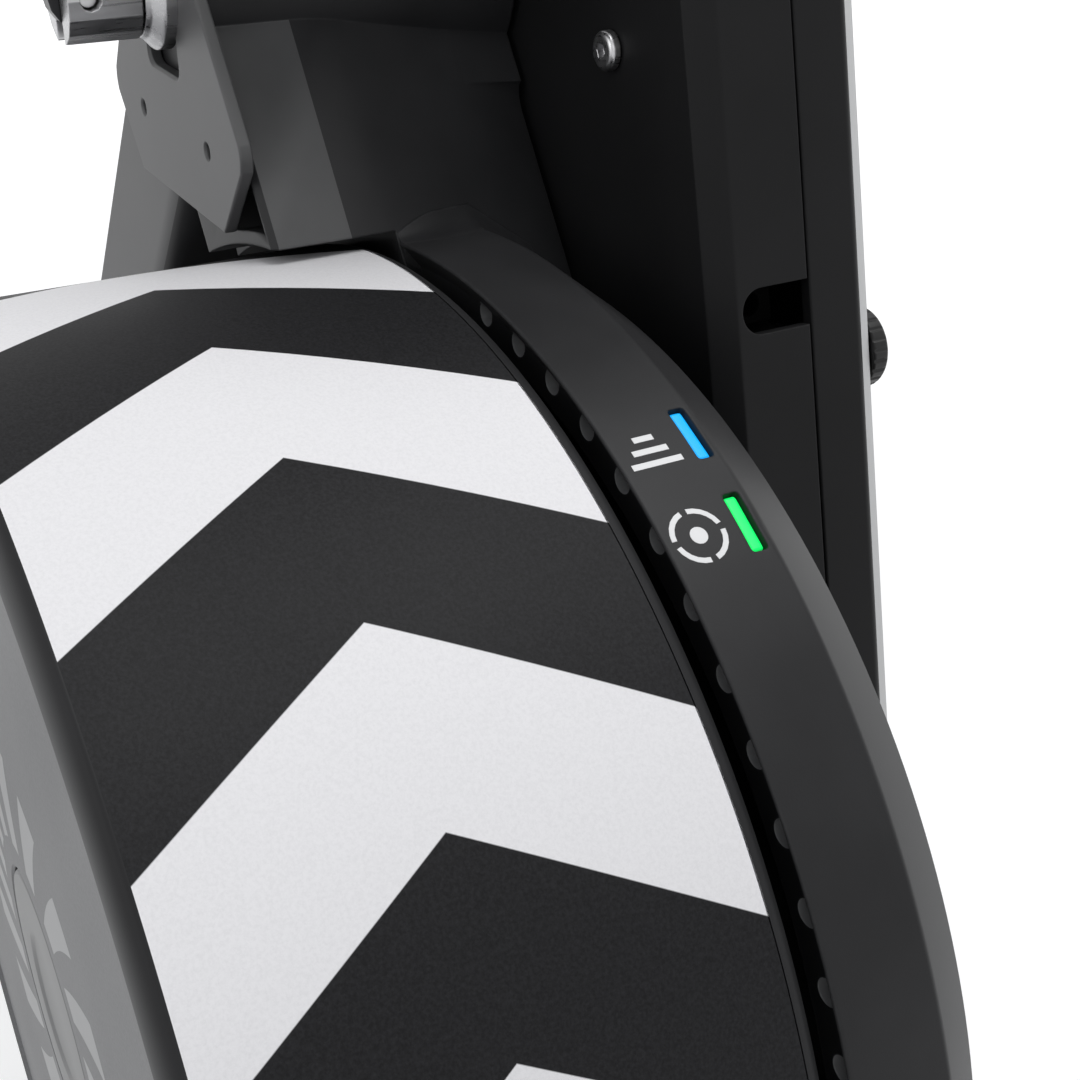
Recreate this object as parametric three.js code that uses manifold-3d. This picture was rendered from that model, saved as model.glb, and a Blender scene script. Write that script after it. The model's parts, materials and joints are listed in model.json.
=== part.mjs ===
// Direct drive bike trainer: a heavy drum flywheel beside a round brake housing,
// an A-shaped cast frame, a belt drive in a slim case, and a fixed axle with a
// freehub that takes the bicycle's rear dropouts.
//
// Millimetres. X forward, Y to the left (flywheel side), Z up.
// Everything is drawn from the flywheel's own axis, which runs along Y, and the
// whole machine is then set down so that the origin lies on the floor midway
// between the feet.

import * as THREE from 'three';
import { mergeVertices } from 'three/addons/utils/BufferGeometryUtils.js';
import Module from 'manifold-3d';

const wasm = await Module();
wasm.setup();

// Clearances and shared values
const seat = 0.3;            // gap left between two pieces that touch
const overrun = 2;           // how far a cutting tool runs past a face
const wall = 2.5;            // moulded case wall
const weldDistance = 1e-4;   // corners nearer than this are one corner
const bigSteps = 48;         // facets round the drum and the brake ring
const midSteps = 28;         // facets round pulleys and hubs
const caseSteps = 10;        // facets along each round end of the belt case
const smallSteps = 16;       // facets round shafts and bosses
const bearingSteps = 16;     // facets round bearings
const fineSteps = 10;        // facets round screws and pins

// Driving sizes
const axleHeight = 345;      // axle above the floor, as on a 700c wheel
const drumRadius = 120;
const axleClear = 45.74;     // axle's distance beyond the drum's rim
const axleAngle = 19.747;    // degrees from upright, flywheel shaft to axle
const drumLeftY = 37.4;      // outer face of the drum
const drumRightY = -39;      // open side of the drum
const hubWidth = 135;        // between the dropout faces
const standWidth = 480;      // rear foot bar, end to end
const frontWidth = 300;      // front foot bar, end to end
const footCentreY = -60;     // middle of both foot bars

const degree = Math.PI / 180;
const roundShare = 1 - Math.SQRT1_2; // where the middle of a rounded edge lies
const centreLine = axleAngle * degree;
const centreDistance = drumRadius + axleClear;
const axleX = centreDistance * Math.sin(centreLine);
const axleRise = centreDistance * Math.cos(centreLine);
const drumAxisHeight = axleHeight - axleRise;

// Drum
const rimWall = 12;
const drumFaceWall = 8;
const drumEdgeRound = 6.5;
const drumEdgeSide = 2.4;
const drumBackRound = 3;
const dishDepth = 0.9;
const dishLand = 5.5;
const drumHubRadius = 22;
const drumHubLength = 9;
const capRadius = 25;
const capThickness = 3;
const capDome = 0.8;
const drumInnerRadius = drumRadius - rimWall;
const drumInnerY = drumLeftY - dishDepth - drumFaceWall;

// Flywheel shaft and its bearings
const shaftRadius = 8.5;
const shaftShoulder = 11;
const bearingRadius = 17;
const bearingWidth = 12;
const bearingGroove = 1.2;
const raceShare = 0.25;      // outer race as a share of the bearing's thickness
const leftBearingY = 17.5;   // outer face of the left bearing
const rightBearingY = -67.4; // outer face of the right bearing

// Brake ring of the main frame
const ringProud = 0.7;       // ring beyond the drum's rim
const ringLeftY = -41.6;
const ringBandY = -56.9;
const ringBackY = -67.7;
const ringChamferSide = 8.3;
const ringWall = 9.7;
const ringFloor = 7.7;
const ringLip = 4.2;         // how far the ring's left edge slopes inwards
const ringLipDrop = 2.6;
const scallopCount = 22;     // round notches along the rear of the lip's inside
const scallopPitch = 5.2;    // degrees
const scallopStart = 5;
const scallopRadius = 2;
const scallopOut = 4.6;      // notch centres beyond the ring's inside
const scallopDepth = 5;
const scallopSteps = 6;
const barrelRadius = 22;
const barrelStep = 2;        // lip that a bearing stops against
const ringRadius = drumRadius + ringProud;
const ringChamferRadius = ringRadius - ringChamferSide;
const ringInnerRadius = ringRadius - ringWall;
const scallopCentre = ringInnerRadius + scallopOut;
const ringFloorY = ringBackY + ringFloor;

// Rear column, leaning forward from the brake ring to the axle
const columnLean = 35.5;     // degrees from upright
const columnRise = 2.7;      // foot of the column's rear face beyond the ring
const columnAngle = 8.012;   // degrees forward from the ring's top to that foot
const columnLeftY = -20.2;
const columnRightY = -75.5;
const columnThick = 34;
const columnStrip = 13.5;     // flat strip at the left of the rear face
const columnSweep = 22;      // how far the rear face curves forward to the right
const columnEdge = 1;
const sweepTop = 18;         // where the swept part ends, up the column
const sweepRun = 14;         // length over which it runs out
const sweepSlices = 5;
const columnUp = 52;         // length above that point
const columnDown = 60;       // length below it
const columnFillet = 14;     // radius where ring and column meet
const filletSlices = 6;      // sections along the fillet
const rootShare = 0.86;      // how deep the fillet's root lies in the ring
const columnX = (ringRadius + columnRise) * Math.sin(columnAngle * degree);
const columnZ = (ringRadius + columnRise) * Math.cos(columnAngle * degree);

// Front strut, from the axle down to the front foot
const strutLean = 41.1;
const strutClear = 6;        // room between its underside and the drum
const strutDepth = 31.6;     // from its underside to its upper side
const strutEdge = 6;
const strutPocketCount = 4;
const strutPocketDepth = 18;
const strutPocketLength = 44;
const strutRib = 9;
const strutPocketStart = 78; // along the strut, from the foot of its normal
const strutNear = drumRadius + strutClear;
const strutFar = strutNear + strutDepth;

// Apex round the axle, and the web under it
const apexRadius = 18;
const padStep = 1;           // pad to the case, inside the apex's edge
const shaftPad = 10;         // pad to the case, beyond the bearing barrel
const drumGap = 4;           // room between the frame and the turning drum
const webInset = 8;
const webReach = 45;         // how far the web runs down under the strut
const webBack = 26;          // where the web starts, ahead of the column's face
const hollowWall = 1.6;      // wall left behind the column's hollow
const hollowFar = 16;        // its front wall, from the column's rear face
const hollowTop = 14.5;      // its top, up the column
const hollowDeep = 6;        // how far its tool reaches below the column's foot
const hollowRim = 2.3;       // rim left between the hollow and the drum
const hollowDepth = 16;

// Rear leg under the brake ring
const legTopAngle = 109.5;   // degrees back from the ring's top
const legInnerAngle = 171.3;
const legBite = 1.5;         // how deep the leg's ends lie inside the ring's edge
const legFootHalf = 17;
const legBow = 30;
const legInset = 1.5;
const legRadius = ringRadius - legBite;
const legTopX = -legRadius * Math.sin(legTopAngle * degree);
const legTopZ = legRadius * Math.cos(legTopAngle * degree);
const legInnerX = -legRadius * Math.sin(legInnerAngle * degree);
const legInnerZ = legRadius * Math.cos(legInnerAngle * degree);

// Side plate on the left of the apex
const plateThick = 2.2;
const plateTopRadius = 15;
const plateTopRise = 1;
const plateHalf = 35.2;
const plateFoot = 23;
const plateBottomDrop = 36;  // heights below the axle
const plateHipDrop = 23.6;
const plateShoulderDrop = 18.8;
const plateHoleDrop = 23.5;
const plateSlotDrop = 14.2;
const plateSlotRise = 8;     // height above the axle
const plateHipShare = 0.97;  // hip and shoulder as a share of the half width
const plateHoleRadius = 1.35;
const plateHoleSide = 17.9;
const platePinRadius = 1.05;
const platePinLength = 10;
const platePinSink = 1.2;
const plateSlotWidth = 17;
const plateSlotShift = 2.1;
const plateSlotRound = 3;
const plateX = axleX;
const plateBottomZ = axleRise - plateBottomDrop;
const plateHipZ = axleRise - plateHipDrop;
const plateShoulderZ = axleRise - plateShoulderDrop;
const plateHoleZ = axleRise - plateHoleDrop;
const plateSlotBottomZ = axleRise - plateSlotDrop;
const plateSlotTopZ = axleRise + plateSlotRise;

// Belt case
const caseLeftY = -76.8;
const caseSeamY = -94.3;
const caseRightY = -105.5;
const caseTopRoom = 7.9;     // from the pulley's flanges out to the case wall
const caseFootRoom = 35.5;   // from the pinion out to the case wall
const caseChamfer = 3.5;
const caseRound = 2;
const slotShare = 0.6305;    // up the rear face, as a share of the centre distance
const slotHeight = 7.4;
const slotLeftY = -81.3;
const panelThick = 2;
const panelInset = 2.4;      // how far it stays inside the cover's outline
const panelLowShare = 0.12;  // where it starts and ends along the line of centres
const panelHighShare = 1.28;
const hubHoleRadius = 24;
const shaftHoleRadius = 12;

// Belt drive
const beltThick = 2.6;
const beltMiddleY = -90;
const pinionRadius = 13;
const pulleyRadius = 58;
const pulleyWidth = 12;
const flangeRise = 1.6;
const flangeWidth = 1;
const beltWidth = pulleyWidth - 2 * flangeWidth - 2 * seat;
const grooveCount = 3;
const grooveDepth = 0.8;
const pulleyRim = 6;
const pulleyWeb = 5;
const spokeHoleCount = 5;
const spokeHoleRadius = 10;
const spokeHoleCentre = 36;
const idlerRadius = 6;
const idlerShare = 0.5976;   // along the rear run, as a share of the centre distance
const idlerBore = 2.8;
const armLength = 5.16;      // from the knob's axis to the idler's
const armRadius = 4.8;
const armThick = 3;
const armShaft = 4.2;
const knobRadius = 7;
const knobHeight = 3.2;
const knobDome = 0.8;
const knobFlutes = 12;
const knobFluteRadius = 0.7;
const knobSocket = 2.2;
const caseTopRadius = pulleyRadius + flangeRise + caseTopRoom + wall;
const caseFootRadius = pinionRadius + caseFootRoom + wall;

// Axle, hub and freehub
const axleRadius = 6;
const axleBore = 2.8;
const axleLeftFaceY = -13;
const axleFlangeRadius = 10;
const axleFlangeThick = 3;
const hubRadius = 17;
const hubBearingRadius = 13;
const hubBearingWidth = 7;
const hubLeftY = -81;
const hubRightY = -108.9;
const freehubRadius = 17.2;
const freehubRoot = 15.7;
const freehubSplines = 9;
const freehubLength = 35.3;
const splineShare = 0.42;
const splineFacets = 2;
const freehubFlange = 18.6;
const freehubFlangeThick = 2.4;
const skewerRadius = 2.4;
const skewerHeadRadius = 8;
const skewerHeadLength = 12;
const leverWidth = 9;
const leverThick = 4;
const leverLength = 52;
const leverCam = 5.5;
const leverPinRadius = 1.5;
const leverPinShare = 0.7;   // pin's length as a share of the head's width
const nutRadius = 8;
const nutLength = 9;
const nutTaper = 1;

// Magnets and brake stator inside the drum
const magnetThick = 3.2;
const magnetLowY = -30;
const magnetHighY = 16;
const poleCount = 10;
const poleWidth = 14;
const poleTipWidth = 44;
const poleTipThick = 7;
const airGap = 1.5;          // between the magnets and the poles
const yokeRadius = 38;
const coreTopY = 12;
const coreBottomY = -26;
const coilWidth = 25;
const coilInner = 44;
const poleTipRoom = 6;       // between a coil and its pole tip
const coilProud = 6;
const statorRadius = drumInnerRadius - seat - magnetThick - airGap;
const coilOuter = statorRadius - poleTipThick - poleTipRoom;

// Indicators in the ring's band
const lensWidth = 2.1;
const lensHeight = 8.8;
const lensSink = 0.6;
const lensY = -54.6;
const cornerShare = 0.07;    // how far a tilted window's corner reaches inwards
const blueAngle = 25.1;      // degrees back from the top of the ring
const greenAngle = 32.5;
const boardThick = 1.6;
const ledBoardLength = 28;
const ledBoardWidth = 8;
const boardWidthShare = 0.83; // shares of the ring's inner radius
const boardHeightShare = 0.414;
const boardDropShare = 0.667;
const boardPadShare = 0.42;  // standoffs, from the board's middle
const chipShares = [-0.28, 0.02, 0.3]; // chips across the board
const standoffRadius = 3;
const standoffHeight = 3;
const chipSize = 12;
const chipHeight = 2.4;
const jackWidth = 9;
const jackHeight = 6.8;
const jackDepth = 8;
const jackSink = 5;          // behind the case wall
const jackHoleRadius = 2;
const shelfThick = 1.6;      // shelf of the case that the socket hangs from
const controlBoardWidth = ringInnerRadius * boardWidthShare;
const controlBoardHeight = ringInnerRadius * boardHeightShare;
const controlBoardDrop = ringInnerRadius * boardDropShare;

// Handle
const handleWidth = 28;
const handleThick = 13;
const handleFootHalf = 17;
const handleGripHalf = 64;
const handleLift = 2;        // foot line above the apex
const handleShoulder = 24;   // from there up to where the loop starts to bend
const handleRise = 62;       // from there up to the top of the loop
const handleRound = 18;
const handleBlockHeight = 9;
const handleFootZ = axleRise + apexRadius + handleLift;

// Feet
const barHeight = 25;
const barBase = 58;
const barTop = 54;
const barRound = 5;
const barWall = 3;
const barBehind = 45;        // rear bar's middle behind the drum's rim
const padHeight = 8;
const padRadius = 19;
const padInset = 32;
const padTaper = 3;
const capLength = 6;
const capPlug = 5;
const boltRadius = 4;
const boltHeadRadius = 6.5;
const boltHeadHeight = 5;
const boltSpacing = 26;
const rearBoltSpacing = 18;
const boltReach = 12;
const barX = -drumRadius - barBehind;
const legFootZ = -drumAxisHeight + padHeight + barHeight + seat;

// Screws that close the case
const screwHeadRadius = 3.2;
const screwHeadHeight = 1.8;
const screwRadius = 1.6;
const screwLength = 18;
const screwBossRadius = 4.4;
const screwLowShare = 0.2;   // places along the line of centres
const screwHighShare = 0.58;
const screwFootShare = 0.75; // the lowest one, as a share of the foot's radius
const sensorBack = 48.4;     // behind and below the axle
const sensorDrop = 7.6;
const sensorX = axleX - sensorBack;
const sensorZ = axleRise - sensorDrop;
const sensorLength = 15;
const sensorHeight = 11;
const sensorThick = 3.4;
const sensorScrewLength = 6;


// Turns a closed three.js geometry into a solid, facing outwards.
function solid(geometry) {
  const plain = geometry.clone();
  plain.deleteAttribute('normal');
  plain.deleteAttribute('uv');
  const merged = mergeVertices(plain, weldDistance);
  const places = merged.attributes.position;
  const corners = Array.from(merged.index.array);
  const kept = [];
  let volume = 0;
  const a = new THREE.Vector3();
  const b = new THREE.Vector3();
  const c = new THREE.Vector3();
  for (let i = 0; i < corners.length; i += 3) {
    const [p, q, r] = [corners[i], corners[i + 1], corners[i + 2]];
    if (p === q || q === r || r === p) continue;
    kept.push(p, q, r);
    a.fromBufferAttribute(places, p);
    b.fromBufferAttribute(places, q);
    c.fromBufferAttribute(places, r);
    volume += a.dot(b.cross(c));
  }
  if (volume < 0) {
    for (let i = 0; i < kept.length; i += 3) {
      [kept[i], kept[i + 1]] = [kept[i + 1], kept[i]];
    }
  }
  return new wasm.Manifold(new wasm.Mesh({
    numProp: 3,
    vertProperties: new Float32Array(places.array),
    triVerts: new Uint32Array(kept),
  }));
}

// Gives a solid back as a three.js geometry.
function shell(body) {
  const mesh = body.getMesh();
  const geometry = new THREE.BufferGeometry();
  geometry.setAttribute('position', new THREE.BufferAttribute(new Float32Array(mesh.vertProperties), 3));
  geometry.setIndex(new THREE.BufferAttribute(new Uint32Array(mesh.triVerts), 1));
  geometry.computeVertexNormals();
  return geometry;
}

// A profile of [radius, y] pairs turned about the Y axis.
function turned(profile, steps = smallSteps, closed = true) {
  const points = profile.map(([r, y]) => new THREE.Vector2(r, y));
  if (closed) points.push(points[0].clone());
  return solid(new THREE.LatheGeometry(points, steps));
}

// A disc or ring about the Y axis between two heights.
function ring(outer, inner, yLow, yHigh, steps = smallSteps) {
  if (inner > 0) {
    return turned([[inner, yLow], [outer, yLow], [outer, yHigh], [inner, yHigh]], steps);
  }
  return turned([[0, yLow], [outer, yLow], [outer, yHigh], [0, yHigh]], steps, false);
}

// An outline in the X-Z plane pushed along Y, from yHigh down to yLow.
function slab(shape, yLow, yHigh, steps = fineSteps) {
  const geometry = new THREE.ExtrudeGeometry(shape, {
    depth: yHigh - yLow,
    bevelEnabled: false,
    curveSegments: steps,
  });
  geometry.rotateX(Math.PI / 2);
  geometry.translate(0, yHigh, 0);
  return solid(geometry);
}

// Closed rings of equal length joined one after the other, both ends closed by
// fans; each ring is a list of [x, y, z].
function lofted(rings) {
  const count = rings[0].length;
  const places = rings.flat(2);
  const corners = [];
  for (let i = 0; i + 1 < rings.length; i += 1) {
    for (let j = 0; j < count; j += 1) {
      const a = i * count + j;
      const b = i * count + (j + 1) % count;
      corners.push(a, b, b + count, a, b + count, a + count);
    }
  }
  const last = (rings.length - 1) * count;
  for (let j = 1; j + 1 < count; j += 1) {
    corners.push(0, j + 1, j);
    corners.push(last, last + j, last + j + 1);
  }
  const geometry = new THREE.BufferGeometry();
  geometry.setAttribute('position', new THREE.Float32BufferAttribute(places, 3));
  geometry.setIndex(corners);
  return solid(geometry);
}

// A box given by its middle and its sides.
function block(x, y, z, sideX, sideY, sideZ, turnY = 0) {
  const geometry = new THREE.BoxGeometry(sideX, sideY, sideZ);
  geometry.rotateY(turnY);
  geometry.translate(x, y, z);
  return solid(geometry);
}

function moved(body, x, y, z) {
  return body.translate([x, y, z]);
}

function outline(points) {
  return new THREE.Shape(points.map(([x, z]) => new THREE.Vector2(x, z)));
}

// Place on the ring at an angle back from its top.
function around(radius, angle) {
  return [-radius * Math.sin(angle), radius * Math.cos(angle)];
}

const pieces = [];

function piece(name, body, color, roughness, metalness) {
  const material = new THREE.MeshStandardMaterial({ color, roughness, metalness });
  const mesh = new THREE.Mesh(shell(body), material);
  mesh.name = name;
  pieces.push(mesh);
  return mesh;
}

// Finishes
const castColor = 0x3b3d40;
const caseColor = 0x232426;
const plateColor = 0x55575a;
const panelColor = 0xc8c8c6;
const steelColor = 0x9b9ea2;
const rubberColor = 0x1b1b1c;
const drumColor = 0xe4e3e2;

// Flywheel drum: a steel cup, open towards the brake ring
function drumBody() {
  const rimY = drumLeftY;
  const faceY = drumLeftY - dishDepth;
  const shoulder = drumRadius - drumEdgeRound;
  const capFloorY = faceY - capThickness;
  const hubEndY = drumInnerY - drumHubLength;
  return turned([
    [shaftRadius + seat, hubEndY],
    [drumHubRadius, hubEndY],
    [drumHubRadius, drumInnerY],
    [drumInnerRadius, drumInnerY],
    [drumInnerRadius, drumRightY],
    [drumRadius - drumBackRound, drumRightY],
    [drumRadius - drumBackRound * roundShare, drumRightY + drumBackRound * roundShare],
    [drumRadius, drumRightY + drumBackRound],
    [drumRadius, rimY - drumEdgeSide],
    [drumRadius - drumEdgeRound * roundShare, rimY - drumEdgeSide * roundShare],
    [shoulder, rimY],
    [shoulder - dishLand, faceY],
    [capRadius + seat, faceY],
    [capRadius + seat, capFloorY],
    [shaftRadius + seat, capFloorY],
  ], bigSteps);
}

function hubCapBody() {
  const low = drumLeftY - dishDepth - capThickness + seat;
  const high = drumLeftY - dishDepth;
  return turned([
    [0, low],
    [capRadius, low],
    [capRadius, high - capDome],
    [capRadius - capDome, high],
    [0, high],
  ], midSteps, false);
}

// Flywheel shaft, with the shoulder between its bearings
const shaftTopY = drumLeftY - dishDepth - capThickness - seat;
const pinionLowY = beltMiddleY - pulleyWidth / 2;
const pinionHighY = beltMiddleY + pulleyWidth / 2;
const shaftLowY = pinionLowY - seat;
const leftStopY = leftBearingY - bearingWidth;
const rightStopY = rightBearingY + bearingWidth;

function shaftBody() {
  return turned([
    [0, shaftLowY],
    [shaftRadius, shaftLowY],
    [shaftRadius, rightStopY + seat],
    [shaftShoulder, rightStopY + seat],
    [shaftShoulder, leftStopY - seat],
    [shaftRadius, leftStopY - seat],
    [shaftRadius, shaftTopY],
    [0, shaftTopY],
  ], smallSteps, false);
}

function bearingBody(outer, inner, yLow, yHigh) {
  const quarter = (outer - inner) * raceShare;
  return turned([
    [inner, yLow],
    [outer - quarter, yLow + bearingGroove],
    [outer - quarter, yLow],
    [outer, yLow],
    [outer, yHigh],
    [outer - quarter, yHigh],
    [outer - quarter, yHigh - bearingGroove],
    [inner, yHigh],
  ], bearingSteps);
}

// Brake stator: poles and coils round the frame's barrel
function statorBody() {
  let body = ring(yokeRadius, barrelRadius + seat, coreBottomY, coreTopY, midSteps);
  const coreMiddle = (coreTopY + coreBottomY) / 2;
  const coreLength = coreTopY - coreBottomY;
  const rim = ring(statorRadius, statorRadius - poleTipThick, coreBottomY, coreTopY, midSteps);
  const tipPieces = [];
  for (let i = 0; i < poleCount; i += 1) {
    const angle = (i / poleCount) * 2 * Math.PI;
    const reach = statorRadius - yokeRadius;
    const [x, z] = around(yokeRadius + reach / 2 - overrun, angle);
    const pole = block(x, coreMiddle, z, poleWidth, coreLength, reach - overrun, -angle);
    const [cx, cz] = around((coilInner + coilOuter) / 2, angle);
    const coil = block(cx, coreMiddle, cz, coilWidth, coreLength + 2 * coilProud, coilOuter - coilInner, -angle);
    const [tx, tz] = around(statorRadius - poleTipThick / 2, angle);
    tipPieces.push(block(tx, coreMiddle, tz, poleTipWidth, coreLength, 2 * poleTipThick, -angle));
    body = body.add(pole).add(coil);
  }
  const tips = tipPieces.reduce((all, next) => all.add(next)).intersect(rim);
  return body.add(tips);
}

// Brake ring, floor and bearing barrel of the main frame
function ringBody() {
  return turned([
    [bearingRadius + seat, ringBackY],
    [ringChamferRadius, ringBackY],
    [ringRadius, ringBandY],
    [ringRadius, ringLeftY],
    [ringRadius - ringLip, ringLeftY - ringLipDrop],
    [ringInnerRadius, ringLeftY - ringLipDrop],
    [ringInnerRadius, ringFloorY],
    [barrelRadius, ringFloorY],
    [barrelRadius, leftBearingY + seat],
    [bearingRadius + seat, leftBearingY + seat],
    [bearingRadius + seat, leftStopY - seat],
    [bearingRadius - barrelStep, leftStopY - seat],
    [bearingRadius - barrelStep, rightStopY + seat],
    [bearingRadius + seat, rightStopY + seat],
  ], bigSteps);
}

// Rear column, pushed along its own leaning axis
function columnBody(thick = columnThick) {
  const rings = [columnSection(-columnDown, columnSweep, thick)];
  for (let i = 0; i <= sweepSlices; i += 1) {
    const turn = (Math.PI / 2) * (i / sweepSlices);
    const along = sweepTop - sweepRun * (1 - Math.sin(turn));
    rings.push(columnSection(along, columnSweep * Math.cos(turn), thick));
  }
  rings.push(columnSection(columnUp, 0, thick));
  return lofted(rings);
}

// One section of the column; its rear face curves forward by a given sweep
function columnSection(along, sweep, thick) {
  const curveLeftY = columnLeftY - columnStrip;
  const flat = [
    [0, columnLeftY - columnEdge],
    [columnEdge, columnLeftY],
    [thick, columnLeftY],
    [thick, columnRightY],
  ];
  for (let i = 0; i <= fineSteps; i += 1) {
    const back = 1 - i / fineSteps;
    const y = curveLeftY + (columnRightY - curveLeftY) * (1 - (1 - back) * (1 - back));
    flat.push([sweep * back * back, y]);
  }
  return flat.map(([forward, y]) => {
    const [x, z] = columnPoint(forward, along);
    return [x, y, z];
  });
}

// A point in the column's side view: ahead of its rear face, and up along it
function columnPoint(forward, along) {
  const lean = columnLean * degree;
  return [
    columnX + forward * Math.cos(lean) + along * Math.sin(lean),
    columnZ - forward * Math.sin(lean) + along * Math.cos(lean),
  ];
}

// Hollow open to the left, low in the column
function hollowTool() {
  const shape = new THREE.Shape();
  shape.moveTo(...columnPoint(hollowWall, -hollowDeep));
  shape.lineTo(...columnPoint(hollowWall, hollowTop));
  shape.lineTo(...columnPoint(hollowFar, hollowTop));
  shape.lineTo(...columnPoint(hollowFar, -hollowDeep));
  const tool = slab(shape, columnLeftY - hollowDepth, columnLeftY + overrun);
  const inner = drumRadius + drumGap + hollowRim;
  return tool.subtract(ring(inner, 0, columnLeftY - hollowDepth - overrun, columnLeftY + 2 * overrun, bigSteps));
}

// How far the column's rear face lies ahead of its flat strip at a depth in Y
function sweepAt(y) {
  const curveLeftY = columnLeftY - columnStrip;
  if (y >= curveLeftY) return 0;
  const left = Math.sqrt((y - columnRightY) / (curveLeftY - columnRightY));
  return columnSweep * (1 - left) * (1 - left);
}

// The ring's outer radius at a depth in Y
function ringAt(y) {
  if (y >= ringBandY) return ringRadius;
  const share = (ringBandY - y) / (ringBandY - ringBackY);
  return ringRadius - share * ringChamferSide;
}

// One section of the fillet between the ring and the column's rear face
function filletSection(y) {
  const lean = columnLean * degree;
  const back = new THREE.Vector2(-Math.cos(lean), Math.sin(lean));
  const face = back.x * columnX + back.y * columnZ - sweepAt(y);
  const radius = ringAt(y);
  const reach = radius + columnFillet;
  const tilt = Math.PI / 2 - lean - Math.acos((face + columnFillet) / reach);
  const [cx, cz] = around(reach, tilt);
  const [rx, rz] = around(radius, tilt);
  const px = cx - back.x * columnFillet;
  const pz = cz - back.y * columnFillet;
  const start = Math.atan2(rz - cz, rx - cx);
  const end = Math.atan2(pz - cz, px - cx);
  const points = [[rx * rootShare, y, rz * rootShare]];
  for (let i = 0; i <= fineSteps; i += 1) {
    const angle = start + (end - start) * (i / fineSteps);
    points.push([cx + columnFillet * Math.cos(angle), y, cz + columnFillet * Math.sin(angle)]);
  }
  points.push([px * rootShare, y, pz * rootShare]);
  return points;
}

// Concave fillet that lets the ring run up into the column
function filletBody() {
  const rings = [];
  for (let i = 0; i <= filletSlices; i += 1) {
    rings.push(filletSection(ringLeftY + (ringBackY - ringLeftY) * (i / filletSlices)));
  }
  return lofted(rings);
}

// Front strut with rounded edges, pushed along its own axis
const strutAxis = new THREE.Vector2(Math.sin(strutLean * degree), -Math.cos(strutLean * degree));
const strutNormal = new THREE.Vector2(Math.cos(strutLean * degree), Math.sin(strutLean * degree));
const strutMiddle = (strutNear + strutFar) / 2;
const strutTopAlong = strutAxis.x * axleX + strutAxis.y * axleRise;
const strutFootAlong = (strutMiddle * strutNormal.y - legFootZ) / -strutAxis.y;

const frontBarX = (strutMiddle - strutNormal.y * legFootZ) / strutNormal.x;

function strutPoint(along, offset = 0) {
  const x = strutNormal.x * (strutMiddle + offset) + strutAxis.x * along;
  const z = strutNormal.y * (strutMiddle + offset) + strutAxis.y * along;
  return [x, z];
}

function strutSolid(shape) {
  const geometry = new THREE.ExtrudeGeometry(shape, {
    depth: strutFootAlong - strutTopAlong + 2 * strutDepth,
    bevelEnabled: false,
    curveSegments: fineSteps,
  });
  geometry.rotateY(Math.PI - strutLean * degree);
  const [x, z] = strutPoint(strutTopAlong);
  geometry.translate(x, 0, z);
  return solid(geometry);
}

function strutTool() {
  const half = (strutFar - strutNear) / 2 + seat;
  const shape = new THREE.Shape();
  shape.moveTo(-half, columnLeftY + overrun);
  shape.lineTo(half, columnLeftY + overrun);
  shape.lineTo(half, columnRightY - overrun);
  shape.lineTo(-half, columnRightY - overrun);
  return strutSolid(shape);
}

function frontLegBody() {
  const half = (strutFar - strutNear) / 2;
  const shape = new THREE.Shape();
  shape.moveTo(-half, columnLeftY - columnEdge);
  shape.lineTo(-half + columnEdge, columnLeftY);
  shape.lineTo(half - strutEdge, columnLeftY);
  shape.quadraticCurveTo(half, columnLeftY, half, columnLeftY - strutEdge);
  shape.lineTo(half, columnRightY);
  shape.lineTo(-half, columnRightY);
  const floor = block(frontBarX, footCentreY, legFootZ - standWidth / 2, standWidth, standWidth, standWidth);
  const disc = ring(apexRadius + seat, 0, columnRightY - overrun, columnLeftY + overrun, midSteps);
  let body = strutSolid(shape)
    .subtract(floor)
    .subtract(moved(disc, axleX, 0, axleRise))
    .subtract(columnBody(columnThick + seat));
  const step = strutPocketLength + strutRib;
  for (let i = 0; i < strutPocketCount; i += 1) {
    const [x, z] = strutPoint(strutPocketStart + i * step + strutPocketLength / 2);
    const y = columnRightY + strutPocketDepth / 2 - overrun / 2;
    const pocket = block(x, y, z, strutFar - strutNear - 2 * strutEdge, strutPocketDepth + overrun,
      strutPocketLength, -strutLean * degree);
    body = body.subtract(pocket);
  }
  for (const [x, y] of frontBoltPlaces()) body = body.subtract(boltHole(x, y));
  return body.subtract(platePinTool(1));
}

// Rear leg from the ring's underside to the rear foot bar
function rearLegBody() {
  const shape = new THREE.Shape();
  shape.moveTo(legTopX, legTopZ);
  shape.quadraticCurveTo(barX - legFootHalf + legBow, legTopZ - legBow, barX - legFootHalf, legFootZ);
  shape.lineTo(barX + legFootHalf, legFootZ);
  shape.quadraticCurveTo(barX + legFootHalf + legBow, legInnerZ - legBow / 2, legInnerX, legInnerZ);
  return slab(shape, ringBackY + legInset, ringLeftY - legInset);
}

// Web that ties the column to the apex above the drum
function webBody() {
  const [tipX, tipZ] = strutPoint(-webReach, strutNear - strutMiddle);
  const inner = ringInnerRadius + seat;
  const shape = new THREE.Shape();
  const startX = columnX + webBack * Math.cos(columnLean * degree);
  const startZ = columnZ - webBack * Math.sin(columnLean * degree);
  shape.moveTo(startX, startZ);
  shape.lineTo(axleX, axleRise);
  shape.lineTo(tipX, tipZ);
  shape.absarc(0, 0, inner, Math.atan2(tipZ, tipX), Math.atan2(startZ, startX), false);
  return slab(shape, columnRightY, columnLeftY - webInset).subtract(strutTool());
}

function standoffPlaces() {
  const places = [];
  for (const side of [-1, 1]) {
    for (const level of [-1, 1]) {
      places.push([
        side * controlBoardWidth * boardPadShare,
        -controlBoardDrop + level * controlBoardHeight * boardPadShare,
      ]);
    }
  }
  return places;
}

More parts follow.
